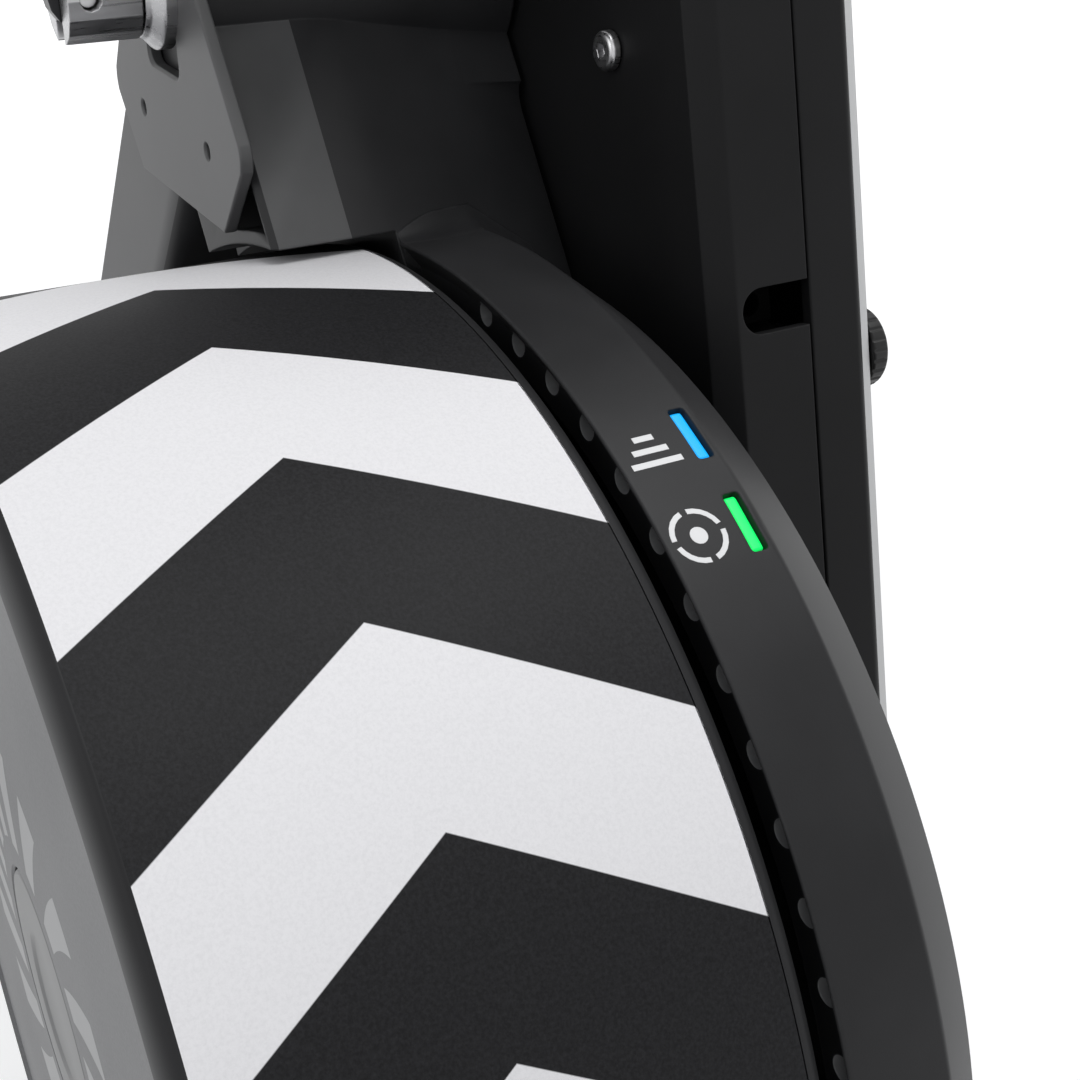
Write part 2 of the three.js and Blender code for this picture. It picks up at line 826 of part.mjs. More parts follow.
function lensTool(angle, width, height, low, high) {
  const [x, z] = around((low + high) / 2, angle);
  return block(x, lensY, z, height, width, high - low, -angle);
}

function scallops() {
  const tools = [];
  for (let i = 0; i < scallopCount; i += 1) {
    const [x, z] = around(scallopCentre, (scallopStart + i * scallopPitch) * degree);
    const top = ringLeftY - ringLipDrop;
    tools.push(moved(ring(scallopRadius, 0, top - scallopDepth, top + ringLipDrop, scallopSteps), x, 0, z));
  }
  return tools.reduce((all, next) => all.add(next));
}

function mainFrameBody() {
  let upper = columnBody()
    .add(webBody())
    .add(moved(ring(apexRadius, 0, columnRightY, columnLeftY, midSteps), axleX, 0, axleRise));
  const keepOut = ring(drumRadius + drumGap, 0, ringLeftY, drumLeftY, bigSteps);
  upper = upper.subtract(keepOut);
  const hollow = ring(ringInnerRadius, 0, ringFloorY, ringLeftY + overrun, bigSteps);
  const fillet = filletBody();
  upper = upper.add(fillet).add(rearLegBody()).subtract(hollow);
  let body = ringBody().add(upper);
  const reach = caseLeftY + seat;
  body = body.add(moved(ring(apexRadius - padStep, 0, reach, ringBackY + overrun, midSteps), axleX, 0, axleRise));
  body = body.add(ring(barrelRadius + shaftPad, bearingRadius + seat, reach, ringBackY + overrun, midSteps));
  body = body.subtract(ring(bearingRadius + seat, 0, caseLeftY, rightStopY + seat, smallSteps));
  body = body.subtract(moved(ring(axleRadius + seat, 0, caseLeftY - overrun, columnLeftY + overrun), axleX, 0, axleRise));
  body = body.subtract(hollowTool());
  for (const angle of [blueAngle, greenAngle]) {
    body = body.subtract(lensTool(angle * degree, lensWidth + 2 * seat, lensHeight + 2 * seat,
      ringInnerRadius - overrun, ringRadius + overrun));
  }
  for (const [x, z] of standoffPlaces()) {
    const pad = ring(standoffRadius, 0, ringFloorY - seat, ringFloorY + standoffHeight, fineSteps);
    body = body.add(moved(pad, x, 0, z));
  }
  for (const [x, y] of rearBoltPlaces()) body = body.subtract(boltHole(x, y));
  return body.subtract(scallops()).subtract(platePinTool(-1));
}

// Bolts that come up through the foot bars into the legs
function rearBoltPlaces() {
  const y = (ringBackY + ringLeftY) / 2;
  return [-1, 1].map((side) => [barX + side * rearBoltSpacing / 2, y]);
}

function frontBoltPlaces() {
  const y = (columnLeftY + columnRightY) / 2;
  return [-1, 1].map((side) => [frontBarX, y + side * boltSpacing / 2]);
}

function upright(radius, low, high, x, y, steps = fineSteps) {
  const geometry = new THREE.CylinderGeometry(radius, radius, high - low, steps);
  geometry.rotateX(Math.PI / 2);
  geometry.translate(x, y, (low + high) / 2);
  return solid(geometry);
}

function boltHole(x, y) {
  return upright(boltRadius + seat, legFootZ - overrun, legFootZ + boltReach, x, y);
}

const barLowZ = -drumAxisHeight + padHeight;
const barHighZ = barLowZ + barHeight;

function boltBody(x, y) {
  const head = upright(boltHeadRadius, barLowZ - boltHeadHeight + wall, barLowZ + wall, x, y);
  const stem = upright(boltRadius, barLowZ, legFootZ + boltReach - seat, x, y);
  return head.add(stem);
}

// Foot bar: a rounded, slightly tapered section along Y
function barSection(inset = 0) {
  const shape = new THREE.Shape();
  const base = barBase / 2 - inset;
  const top = barTop / 2 - inset;
  const low = barLowZ + inset;
  const high = barHighZ - inset;
  shape.moveTo(-base + barRound, low);
  shape.lineTo(base - barRound, low);
  shape.quadraticCurveTo(base, low, base, low + barRound);
  shape.quadraticCurveTo(base, high, top - barRound, high);
  shape.lineTo(-top + barRound, high);
  shape.quadraticCurveTo(-base, high, -base, low + barRound);
  shape.quadraticCurveTo(-base, low, -base + barRound, low);
  return shape;
}

function barBody(x, width, boltPlaces) {
  const low = footCentreY - width / 2 + capLength + seat;
  const high = footCentreY + width / 2 - capLength - seat;
  const tube = slab(barSection(), low, high, fineSteps / 2);
  const bore = slab(barSection(barWall), low - overrun, high + overrun, fineSteps / 2);
  let body = moved(tube.subtract(bore), x, 0, 0);
  for (const [bx, by] of boltPlaces) {
    body = body.subtract(upright(boltRadius + seat, barLowZ - overrun, barHighZ + overrun, bx, by));
    body = body.subtract(upright(boltHeadRadius + seat, barLowZ - overrun, barLowZ + wall + seat, bx, by));
  }
  for (const side of [-1, 1]) {
    const y = footCentreY + side * (width / 2 - padInset);
    body = body.subtract(upright(boltRadius + seat, barLowZ - overrun, barLowZ + boltReach, x, y));
  }
  return body;
}

function barCapBody(x, width, side) {
  const outer = footCentreY + side * width / 2;
  const inner = outer - side * capLength;
  const plugEnd = inner - side * capPlug;
  const cap = slab(barSection(), Math.min(inner, outer), Math.max(inner, outer), fineSteps / 2);
  const rootEnd = outer - side * capLength / 2;
  const plug = slab(barSection(barWall + seat), Math.min(plugEnd, rootEnd), Math.max(plugEnd, rootEnd), fineSteps / 2);
  return moved(cap.add(plug), x, 0, 0);
}

function padBody(x, y) {
  const low = -drumAxisHeight;
  const high = barLowZ - seat;
  const geometry = new THREE.CylinderGeometry(padRadius - padTaper, padRadius, high - low, smallSteps);
  geometry.rotateX(Math.PI / 2);
  geometry.translate(x, y, (low + high) / 2);
  const stud = upright(boltRadius, high - overrun / 2, barLowZ + boltReach - seat, x, y);
  return solid(geometry).add(stud);
}

// Side plate: a symmetrical plate over the apex
function sidePlateBody() {
  const shape = new THREE.Shape();
  const shoulder = plateHalf * plateHipShare;
  const topZ = axleRise + plateTopRise;
  const slope = Math.atan2(shoulder, topZ - plateShoulderZ);
  const reach = Math.hypot(shoulder, topZ - plateShoulderZ);
  const turn = Math.acos(plateTopRadius / reach) + slope - Math.PI / 2;
  const tangentX = plateTopRadius * Math.cos(turn);
  const tangentZ = topZ + plateTopRadius * Math.sin(turn);
  shape.moveTo(-plateFoot, plateBottomZ);
  shape.lineTo(plateFoot, plateBottomZ);
  shape.lineTo(plateHalf * plateHipShare, plateHipZ);
  shape.quadraticCurveTo(plateHalf, (plateHipZ + plateShoulderZ) / 2, shoulder, plateShoulderZ);
  shape.lineTo(tangentX, tangentZ);
  shape.absarc(0, topZ, plateTopRadius, turn, Math.PI - turn, false);
  shape.lineTo(-shoulder, plateShoulderZ);
  shape.quadraticCurveTo(-plateHalf, (plateHipZ + plateShoulderZ) / 2, -plateHalf * plateHipShare, plateHipZ);
  const low = columnLeftY + seat;
  const high = low + plateThick;
  let body = moved(slab(shape, low, high, smallSteps), plateX, 0, 0);
  for (const side of [-1, 1]) {
    const hole = ring(plateHoleRadius, 0, low - overrun, high + overrun, fineSteps);
    body = body.subtract(moved(hole, plateX + side * plateHoleSide, 0, plateHoleZ));
  }
  const slot = new THREE.Shape();
  const half = plateSlotWidth / 2;
  slot.moveTo(-half + plateSlotRound, plateSlotBottomZ);
  slot.lineTo(half - plateSlotRound, plateSlotBottomZ);
  slot.quadraticCurveTo(half, plateSlotBottomZ, half, plateSlotBottomZ + plateSlotRound);
  slot.lineTo(half, plateSlotTopZ);
  slot.lineTo(-half, plateSlotTopZ);
  slot.lineTo(-half, plateSlotBottomZ + plateSlotRound);
  slot.quadraticCurveTo(-half, plateSlotBottomZ, -half + plateSlotRound, plateSlotBottomZ);
  return body.subtract(moved(slab(slot, low - overrun, high + overrun), axleX + plateSlotShift, 0, 0));
}

// Pins that hold the side plate to the column and to the front leg
const platePinHighY = columnLeftY + seat + plateThick - platePinSink;

function platePinTool(side) {
  const tool = ring(plateHoleRadius, 0, platePinHighY - platePinLength - seat, columnLeftY + overrun, fineSteps);
  return moved(tool, plateX + side * plateHoleSide, 0, plateHoleZ);
}

function platePinBody(side) {
  const body = ring(platePinRadius, 0, platePinHighY - platePinLength, platePinHighY, fineSteps);
  return moved(body, plateX + side * plateHoleSide, 0, plateHoleZ);
}

// Outline of the belt case: two round ends joined by straight sides
function caseShape(shrink, topRadius = caseTopRadius, footRadius = caseFootRadius) {
  const top = topRadius - shrink;
  const foot = footRadius - shrink;
  const swing = Math.asin((top - foot) / centreDistance);
  const rearAngle = centreLine - swing;
  const frontAngle = centreLine + swing;
  const shape = new THREE.Shape();
  const startFoot = Math.PI - rearAngle;
  const endFoot = 2 * Math.PI - frontAngle;
  shape.absarc(0, 0, foot, startFoot, endFoot, false);
  shape.absarc(axleX, axleRise, top, -frontAngle, Math.PI - rearAngle, false);
  return shape;
}

function caseHalf(yLow, yHigh, bevel, roundAtTop) {
  const shape = caseShape(bevel);
  const depth = yHigh - yLow - bevel;
  const geometry = new THREE.ExtrudeGeometry(shape, {
    depth,
    bevelEnabled: true,
    bevelThickness: bevel,
    bevelSize: bevel,
    bevelSegments: 1,
    curveSegments: caseSteps,
  });
  geometry.rotateX(Math.PI / 2);
  geometry.translate(0, roundAtTop ? yHigh - bevel : yLow + depth + bevel, 0);
  const whole = solid(geometry);
  const size = 4 * centreDistance;
  const cutY = roundAtTop ? yLow - size / 2 : yHigh + size / 2;
  return whole.subtract(block(axleX, cutY, axleRise / 2, size, size, size));
}

// Closing screws stand beside the belt, given along and across the line of centres
function casePoint(share, side) {
  const half = caseFootRadius + (caseTopRadius - caseFootRadius) * share;
  const across = side * (half - wall - screwBossRadius - seat);
  const along = share * centreDistance;
  return [
    along * Math.sin(centreLine) + across * Math.cos(centreLine),
    along * Math.cos(centreLine) - across * Math.sin(centreLine),
  ];
}
const screwPlaces = [
  casePoint(screwLowShare, -1),
  casePoint(screwLowShare, 1),
  casePoint(screwHighShare, 1),
  [0, -caseFootRadius * screwFootShare],
];
const screwTopY = caseRightY + screwHeadHeight + seat / 2;

function caseShellBody() {
  let body = caseHalf(caseSeamY, caseLeftY, caseChamfer, true);
  body = body.subtract(slab(caseShape(wall), caseSeamY - overrun, caseLeftY - wall, caseSteps));
  const floorY = caseLeftY - wall;
  for (const [x, z] of screwPlaces) {
    const boss = ring(screwBossRadius, 0, caseSeamY + seat, floorY + seat, fineSteps);
    body = body.add(moved(boss, x, 0, z));
  }
  for (const [x, z] of screwPlaces) {
    const hole = ring(screwRadius + seat, 0, caseSeamY - overrun, screwTopY + screwLength + seat, fineSteps);
    body = body.subtract(moved(hole, x, 0, z));
  }
  const sensorHole = ring(screwRadius + seat, 0, floorY - overrun, caseLeftY + overrun, fineSteps);
  body = body.subtract(moved(sensorHole, sensorX, 0, sensorZ));
  body = body.subtract(ring(shaftHoleRadius, 0, caseSeamY, caseLeftY + overrun, smallSteps));
  body = body.subtract(moved(ring(axleRadius + seat, 0, caseSeamY, caseLeftY + overrun), axleX, 0, axleRise));
  return body.add(shelfBody()).subtract(slotTool());
}

// Slot in the rear face, with the power socket behind it
const rearLean = centreLine - Math.asin((caseTopRadius - caseFootRadius) / centreDistance);

// A point at the slot, inwards from the rear face and up along it
function rearFacePoint(inset, up = 0) {
  const distance = caseFootRadius - inset;
  const along = slotShare * centreDistance + up;
  return [
    along * Math.sin(rearLean) - distance * Math.cos(rearLean),
    along * Math.cos(rearLean) + distance * Math.sin(rearLean),
  ];
}

function shelfBody() {
  const reach = wall / 2 + jackSink + jackDepth - shelfThick;
  const [x, z] = rearFacePoint(wall / 2 + reach / 2, jackHeight / 2 + seat + shelfThick / 2);
  const high = caseLeftY - wall / 2;
  return block(x, (high + caseSeamY) / 2, z, reach, high - caseSeamY, shelfThick, rearLean);
}

function slotTool() {
  const [x, z] = rearFacePoint(wall / 2);
  const high = slotLeftY;
  const low = caseSeamY - overrun;
  const tool = block(x, (high + low) / 2 - slotHeight / 4, z, 2 * wall + overrun, high - low - slotHeight / 2,
    slotHeight, rearLean);
  const end = new THREE.CylinderGeometry(slotHeight / 2, slotHeight / 2, 2 * wall + overrun, smallSteps);
  end.rotateZ(Math.PI / 2);
  end.rotateY(rearLean);
  end.translate(x, high - slotHeight / 2, z);
  return tool.add(solid(end));
}

function jackBody() {
  const [x, z] = rearFacePoint(wall + jackSink + jackDepth / 2);
  const y = (slotLeftY + caseSeamY) / 2;
  const body = block(x, y, z, jackDepth, jackWidth, jackHeight, rearLean);
  const hole = new THREE.CylinderGeometry(jackHoleRadius, jackHoleRadius, jackDepth, fineSteps);
  hole.rotateZ(Math.PI / 2);
  hole.rotateY(rearLean);
  const [hx, hz] = rearFacePoint(wall + jackSink + jackDepth / 4);
  hole.translate(hx, y, hz);
  return body.subtract(solid(hole));
}

function caseCoverBody() {
  let body = caseHalf(caseRightY, caseSeamY - seat, caseRound, false);
  body = body.subtract(slab(caseShape(wall), caseRightY + wall, caseSeamY + overrun, caseSteps));
  for (const [x, z] of screwPlaces) {
    const boss = ring(screwBossRadius, 0, caseRightY + wall - seat, caseSeamY - seat, fineSteps);
    body = body.add(moved(boss, x, 0, z));
  }
  for (const [x, z] of screwPlaces) {
    const hole = ring(screwRadius + seat, 0, caseRightY - overrun, caseSeamY + overrun, fineSteps);
    const sink = ring(screwHeadRadius + seat, 0, caseRightY - overrun, screwTopY + seat, fineSteps);
    body = body.subtract(moved(hole, x, 0, z)).subtract(moved(sink, x, 0, z));
  }
  body = body.subtract(moved(ring(hubHoleRadius, 0, caseRightY - overrun, caseSeamY, midSteps), axleX, 0, axleRise));
  const [kx, kz] = knobCentre();
  return body.subtract(moved(ring(armShaft + seat, 0, caseRightY - overrun, caseSeamY), kx, 0, kz));
}

// Pale side panel on the outside of the cover
function panelBody() {
  const high = caseRightY - seat;
  const low = high - panelThick;
  const whole = slab(caseShape(panelInset), low, high, caseSteps);
  const size = 2 * centreDistance;
  const span = panelHighShare - panelLowShare;
  const middle = (panelHighShare + panelLowShare) / 2 * centreDistance;
  const band = block(middle * Math.sin(centreLine), (low + high) / 2, middle * Math.cos(centreLine),
    size, 2 * panelThick, span * centreDistance, centreLine);
  let body = whole.intersect(band);
  const hubHole = ring(hubHoleRadius, 0, low - overrun, high + overrun, midSteps);
  body = body.subtract(moved(hubHole, axleX, 0, axleRise));
  const [kx, kz] = knobCentre();
  return body.subtract(moved(ring(armShaft + seat, 0, low - overrun, high + overrun), kx, 0, kz));
}

function screwBody(x, z) {
  const head = ring(screwHeadRadius, 0, screwTopY - screwHeadHeight, screwTopY, fineSteps);
  const stem = ring(screwRadius, 0, screwTopY - screwHeadHeight / 2, screwTopY + screwLength, fineSteps);
  return moved(head.add(stem), x, 0, z);
}

// Speed sensor beside the pulley's rim, held by a screw through the case
const sensorHighY = caseLeftY - wall - seat;

function sensorBody() {
  const y = sensorHighY - sensorThick / 2;
  const body = block(sensorX, y, sensorZ, sensorLength, sensorThick, sensorHeight, centreLine);
  const hole = ring(screwRadius + seat, 0, y - sensorThick, y + sensorThick, fineSteps);
  return body.subtract(moved(hole, sensorX, 0, sensorZ));
}

function sensorScrewBody() {
  const low = caseLeftY + seat;
  const head = ring(screwHeadRadius, 0, low, low + screwHeadHeight, fineSteps);
  const stem = ring(screwRadius, 0, low - sensorScrewLength, low + screwHeadHeight / 2, fineSteps);
  return moved(head.add(stem), sensorX, 0, sensorZ);
}

// Grooved pulley profile between two flanges
function groovedRim(radius, inner, yLow, yHigh) {
  const profile = [[inner, yLow], [radius + flangeRise, yLow], [radius + flangeRise, yLow + flangeWidth]];
  const first = yLow + flangeWidth + seat;
  const last = yHigh - flangeWidth - seat;
  const pitch = (last - first) / grooveCount;
  profile.push([radius, first]);
  for (let i = 0; i < grooveCount; i += 1) {
    profile.push([radius - grooveDepth, first + i * pitch + pitch / 2]);
    profile.push([radius, first + (i + 1) * pitch]);
  }
  profile.push([radius + flangeRise, yHigh - flangeWidth], [radius + flangeRise, yHigh], [inner, yHigh]);
  return profile;
}

function pinionBody() {
  return turned(groovedRim(pinionRadius, shaftRadius + seat, pinionLowY, pinionHighY), smallSteps);
}

function pulleyBody() {
  const rim = turned(groovedRim(pulleyRadius, pulleyRadius - pulleyRim, pinionLowY, pinionHighY), midSteps);
  const web = ring(pulleyRadius - pulleyRim / 2, hubBearingRadius + seat,
    beltMiddleY - pulleyWeb / 2, beltMiddleY + pulleyWeb / 2, midSteps);
  const hub = ring(hubRadius, hubBearingRadius + seat, hubRightY, hubLeftY, midSteps);
  const innerStop = ring(hubBearingRadius + 2 * seat, axleRadius + 2 * seat,
    hubRightY + hubBearingWidth + seat, hubLeftY - hubBearingWidth - seat, smallSteps);
  let body = rim.add(web).add(hub).add(innerStop);
  for (let i = 0; i < spokeHoleCount; i += 1) {
    const [x, z] = around(spokeHoleCentre, (i / spokeHoleCount) * 2 * Math.PI);
    const hole = ring(spokeHoleRadius, 0, pinionLowY, pinionHighY, fineSteps);
    body = body.subtract(moved(hole, x, 0, z));
  }
  return body;
}

// Belt: the loop round both pulleys
function beltLoop(foot, top) {
  const swing = Math.asin((top - foot) / centreDistance);
  const rear = centreLine - swing;
  const front = centreLine + swing;
  const shape = new THREE.Shape();
  shape.absarc(0, 0, foot, Math.PI - rear, 2 * Math.PI - front, false);
  shape.absarc(axleX, axleRise, top, -front, Math.PI - rear, false);
  return shape;
}

function beltBody() {
  const low = beltMiddleY - beltWidth / 2;
  const high = beltMiddleY + beltWidth / 2;
  const footRadius = pinionRadius + seat;
  const topRadius = pulleyRadius + seat;
  const outer = slab(beltLoop(footRadius + beltThick, topRadius + beltThick), low, high, caseSteps);
  const inner = slab(beltLoop(footRadius, topRadius), low - overrun, high + overrun, caseSteps);
  return outer.subtract(inner);
}

// Idler on a short swing arm, set from outside by the knob
const beltSwing = Math.asin((pulleyRadius - pinionRadius) / centreDistance);
const beltLean = centreLine - beltSwing;

function beltSide(distance) {
  const along = idlerShare * centreDistance;
  const x = -distance * Math.cos(beltLean) + along * Math.sin(beltLean);
  const z = distance * Math.sin(beltLean) + along * Math.cos(beltLean);
  return [x, z];
}

function idlerCentre() {
  return beltSide(pinionRadius + seat + beltThick + seat + idlerRadius);
}

function knobCentre() {
  return beltSide(pinionRadius + seat + beltThick + seat + idlerRadius + armLength);
}

const idlerLowY = beltMiddleY - beltWidth / 2;
const idlerHighY = beltMiddleY + beltWidth / 2;
const armHighY = idlerLowY - seat;
const armLowY = armHighY - armThick;
const armEndY = caseRightY - seat - panelThick - knobSocket;

function idlerBody() {
  return ring(idlerRadius, idlerBore, idlerLowY, idlerHighY, smallSteps);
}

function tensionArmBody() {
  const [ix, iz] = idlerCentre();
  const [kx, kz] = knobCentre();
  const stub = ring(idlerBore - seat, 0, armLowY, idlerHighY, smallSteps);
  const stem = ring(armShaft, 0, armEndY, armHighY, smallSteps);
  const eye = ring(armRadius, 0, armLowY, armHighY, smallSteps);
  const turn = Math.atan2(kz - iz, ix - kx);
  const bar = block((ix + kx) / 2, (armLowY + armHighY) / 2, (iz + kz) / 2, armLength, armThick, 2 * armRadius, turn);
  return moved(stub, ix, 0, iz)
    .add(moved(stem, kx, 0, kz))
    .add(moved(eye, ix, 0, iz))
    .add(moved(eye, kx, 0, kz))
    .add(bar);
}

const knobHighY = caseRightY - seat - panelThick - seat;
const knobLowY = knobHighY - knobHeight;

function knobBody() {
  let body = turned([
    [0, knobLowY],
    [knobRadius - knobDome, knobLowY],
    [knobRadius, knobLowY + knobDome],
    [knobRadius, knobHighY],
    [0, knobHighY],
  ], knobFlutes * 2, false);
  body = body.subtract(ring(armShaft + seat, 0, armEndY - seat, knobHighY + overrun, smallSteps));
  for (let i = 0; i < knobFlutes; i += 1) {
    const [x, z] = around(knobRadius + knobFluteRadius / 2, (i / knobFlutes) * 2 * Math.PI);
    const flute = ring(knobFluteRadius, 0, knobLowY - overrun, knobHighY + overrun, fineSteps / 2);
    body = body.subtract(moved(flute, x, 0, z));
  }
  const [kx, kz] = knobCentre();
  return moved(body, kx, 0, kz);
}

// Fixed axle and its two end pieces
const axleRightFaceY = axleLeftFaceY - hubWidth;
const endCapThick = axleFlangeThick;
const axleEndLeftInner = columnLeftY + seat + plateThick + seat;
const freehubHighY = hubRightY - seat;
const freehubLowY = freehubHighY - freehubLength;

function axleBody() {
  return ring(axleRadius, axleBore, axleRightFaceY + endCapThick + seat, axleEndLeftInner - seat, smallSteps);
}

function axleEndLeftBody() {
  return turned([
    [axleBore, axleEndLeftInner],
    [axleFlangeRadius, axleEndLeftInner],
    [axleFlangeRadius, axleEndLeftInner + axleFlangeThick],
    [axleRadius + overrun, axleLeftFaceY - capDome],
    [axleRadius + overrun - capDome, axleLeftFaceY],
    [axleBore, axleLeftFaceY],
  ], smallSteps);
}

function axleEndRightBody() {
  return ring(axleRadius + overrun, axleBore, axleRightFaceY, axleRightFaceY + endCapThick, smallSteps);
}

function freehubBody() {
  const shape = new THREE.Shape();
  const pitch = (2 * Math.PI) / freehubSplines;
  for (let i = 0; i < freehubSplines; i += 1) {
    const start = i * pitch;
    const top = start + pitch * splineShare;
    shape.absarc(0, 0, freehubRadius, start, top, false);
    shape.absarc(0, 0, freehubRoot, top, start + pitch, false);
  }
  const splined = slab(shape, freehubLowY, freehubHighY, splineFacets);
  const flange = ring(freehubFlange, 0, freehubHighY - freehubFlangeThick, freehubHighY, smallSteps);
  let body = splined.add(flange);
  body = body.subtract(ring(hubBearingRadius + seat, 0, freehubLowY - overrun, freehubLowY + hubBearingWidth + seat));
  body = body.subtract(ring(hubBearingRadius + seat, 0, freehubHighY - hubBearingWidth - seat, freehubHighY + overrun));
  return body.subtract(ring(axleRadius + 2 * seat, 0, freehubLowY - overrun, freehubHighY + overrun));
}

// Quick-release skewer through the hollow axle
const skewerHeadY = axleLeftFaceY + seat;
const skewerTopY = skewerHeadY + skewerHeadLength;

function skewerBody() {
  const rod = ring(skewerRadius, 0, axleRightFaceY - nutLength, skewerHeadY + wall / 2, fineSteps);
  const head = ring(skewerHeadRadius, 0, skewerHeadY, skewerTopY, smallSteps);
  const gap = block(0, skewerHeadY + wall + skewerHeadLength / 2, 0,
    leverThick + 2 * seat, skewerHeadLength, 2 * skewerHeadRadius + overrun);
  const pinHole = acrossX(leverPinRadius + seat, 2 * skewerHeadRadius + overrun, fineSteps);
  return head.subtract(gap).subtract(pinHole).add(rod);
}

const leverPivotY = skewerHeadY + wall + seat + leverCam;

function acrossX(radius, length, steps = smallSteps) {
  const geometry = new THREE.CylinderGeometry(radius, radius, length, steps);
  geometry.rotateZ(Math.PI / 2);
  geometry.translate(0, leverPivotY, 0);
  return solid(geometry);
}

function leverBody() {
  const arm = new THREE.Shape();
  arm.moveTo(-leverWidth / 4, 0);
  arm.quadraticCurveTo(-leverWidth / 4, leverLength / 2, leverWidth / 2, leverLength);
  arm.lineTo(leverWidth, leverLength - leverWidth / 4);
  arm.quadraticCurveTo(leverWidth / 2, leverLength / 2, leverWidth / 3, 0);
  const geometry = new THREE.ExtrudeGeometry(arm, {
    depth: leverThick,
    bevelEnabled: false,
    curveSegments: fineSteps,
  });
  geometry.rotateX(Math.PI / 2);
  geometry.rotateZ(Math.PI / 2);
  geometry.translate(-leverThick / 2, leverPivotY, 0);
  return acrossX(leverCam, leverThick).add(solid(geometry)).subtract(acrossX(leverPinRadius + seat, 2 * leverThick));
}

function leverPinBody() {
  return acrossX(leverPinRadius, 2 * leverPinShare * skewerHeadRadius, fineSteps);
}

function nutBody() {
  const high = axleRightFaceY - seat;
  return turned([
    [skewerRadius + seat, high - nutLength],
    [nutRadius - nutTaper, high - nutLength],
    [nutRadius, high],
    [skewerRadius + seat, high],
  ], smallSteps);
}

// Indicator windows, boards
function lensBody(angle) {
  return lensTool(angle * degree, lensWidth, lensHeight, ringInnerRadius - overrun / 2, ringRadius - lensSink);
}

function ledBoardBody() {
  const angle = ((blueAngle + greenAngle) / 2) * degree;
  const spread = ((greenAngle - blueAngle) / 2) * degree;
  const lensFoot = (ringInnerRadius - overrun / 2) * Math.cos(spread) - lensHeight * cornerShare;
  const radius = lensFoot - seat - boardThick / 2;
  const [x, z] = around(radius, angle);
  return block(x, lensY, z, ledBoardLength, ledBoardWidth, boardThick, -angle);
}

function controlBoardBody() {
  const low = ringFloorY + standoffHeight + seat;
  const high = low + boardThick;
  let body = block(0, (low + high) / 2, -controlBoardDrop, controlBoardWidth, boardThick, controlBoardHeight);
  for (const share of chipShares) {
    const chip = block(share * controlBoardWidth, high + chipHeight / 2 - seat, -controlBoardDrop,
      chipSize, chipHeight, chipSize);
    body = body.add(chip);
  }
  return body;
}

// Loop handle on top of the apex
function handleOutline(inset) {
  const shape = new THREE.Shape();
  const foot = handleFootHalf - inset / 2;
  const grip = handleGripHalf - inset;
  const low = handleFootZ + inset;
  const high = handleFootZ + handleRise - inset;
  const bend = handleFootZ + handleShoulder + inset / 2;
  const round = handleRound - inset / 2;
  shape.moveTo(-foot, low);
  shape.lineTo(foot, low);
  shape.lineTo(grip - round / 2, bend);
  shape.quadraticCurveTo(grip, bend + round / 2, grip, bend + round);
  shape.quadraticCurveTo(grip, high, grip - round, high);
  shape.lineTo(-grip + round, high);
  shape.quadraticCurveTo(-grip, high, -grip, bend + round);
  shape.quadraticCurveTo(-grip, bend + round / 2, -grip + round / 2, bend);
  return shape;
}

function handleBody() {
  const y = (columnLeftY + columnRightY) / 2;
  const outer = slab(handleOutline(0), y - handleWidth / 2, y + handleWidth / 2, fineSteps / 2);
  const inner = slab(handleOutline(handleThick), y - handleWidth, y + handleWidth, fineSteps / 2);
  const foot = block(0, y, handleFootZ, 2 * handleFootHalf, handleWidth, 2 * handleBlockHeight);
  const saddle = ring(apexRadius + seat, 0, columnRightY, columnLeftY, midSteps);
  return moved(outer.subtract(inner).add(foot), axleX, 0, 0).subtract(moved(saddle, axleX, 0, axleRise));
}

// The assembly
piece('main_frame', mainFrameBody(), castColor, 0.55, 0.35);
piece('front_leg', frontLegBody(), castColor, 0.55, 0.35);
piece('side_plate', sidePlateBody(), plateColor, 0.5, 0.6);
piece('plate_pin_rear', platePinBody(-1), steelColor, 0.5, 0.7);
piece('plate_pin_front', platePinBody(1), steelColor, 0.5, 0.7);
piece('carry_handle', handleBody(), caseColor, 0.6, 0.0);
piece('brake_stator', statorBody(), steelColor, 0.5, 0.7);
piece('flywheel_drum', drumBody(), drumColor, 0.6, 0.2);
piece('hub_cap', hubCapBody(), plateColor, 0.4, 0.3);
piece('magnet_ring',
  ring(drumInnerRadius - seat, drumInnerRadius - seat - magnetThick, magnetLowY, magnetHighY, bigSteps),
  steelColor, 0.5, 0.7);
piece('flywheel_shaft', shaftBody(), steelColor, 0.3, 0.9);
piece('shaft_bearing_left',
  bearingBody(bearingRadius, shaftRadius + seat, leftStopY, leftBearingY), steelColor, 0.3, 0.9);
piece('shaft_bearing_right',
  bearingBody(bearingRadius, shaftRadius + seat, rightBearingY, rightStopY), steelColor, 0.3, 0.9);
piece('pinion', pinionBody(), steelColor, 0.35, 0.9);
piece('belt_case', caseShellBody(), caseColor, 0.6, 0.0);
piece('belt_cover', caseCoverBody(), caseColor, 0.6, 0.0);
piece('side_panel', panelBody(), panelColor, 0.5, 0.0);
piece('drive_pulley', moved(pulleyBody(), axleX, 0, axleRise), steelColor, 0.4, 0.8);
piece('drive_belt', beltBody(), rubberColor, 0.8, 0.0);
const [idlerX, idlerZ] = idlerCentre();
piece('idler_pulley', moved(idlerBody(), idlerX, 0, idlerZ), caseColor, 0.5, 0.0);
piece('tension_arm', tensionArmBody(), steelColor, 0.3, 0.9);
piece('tension_knob', knobBody(), rubberColor, 0.6, 0.0);
piece('axle', moved(axleBody(), axleX, 0, axleRise), steelColor, 0.3, 0.9);
piece('axle_end_left', moved(axleEndLeftBody(), axleX, 0, axleRise), steelColor, 0.3, 0.9);
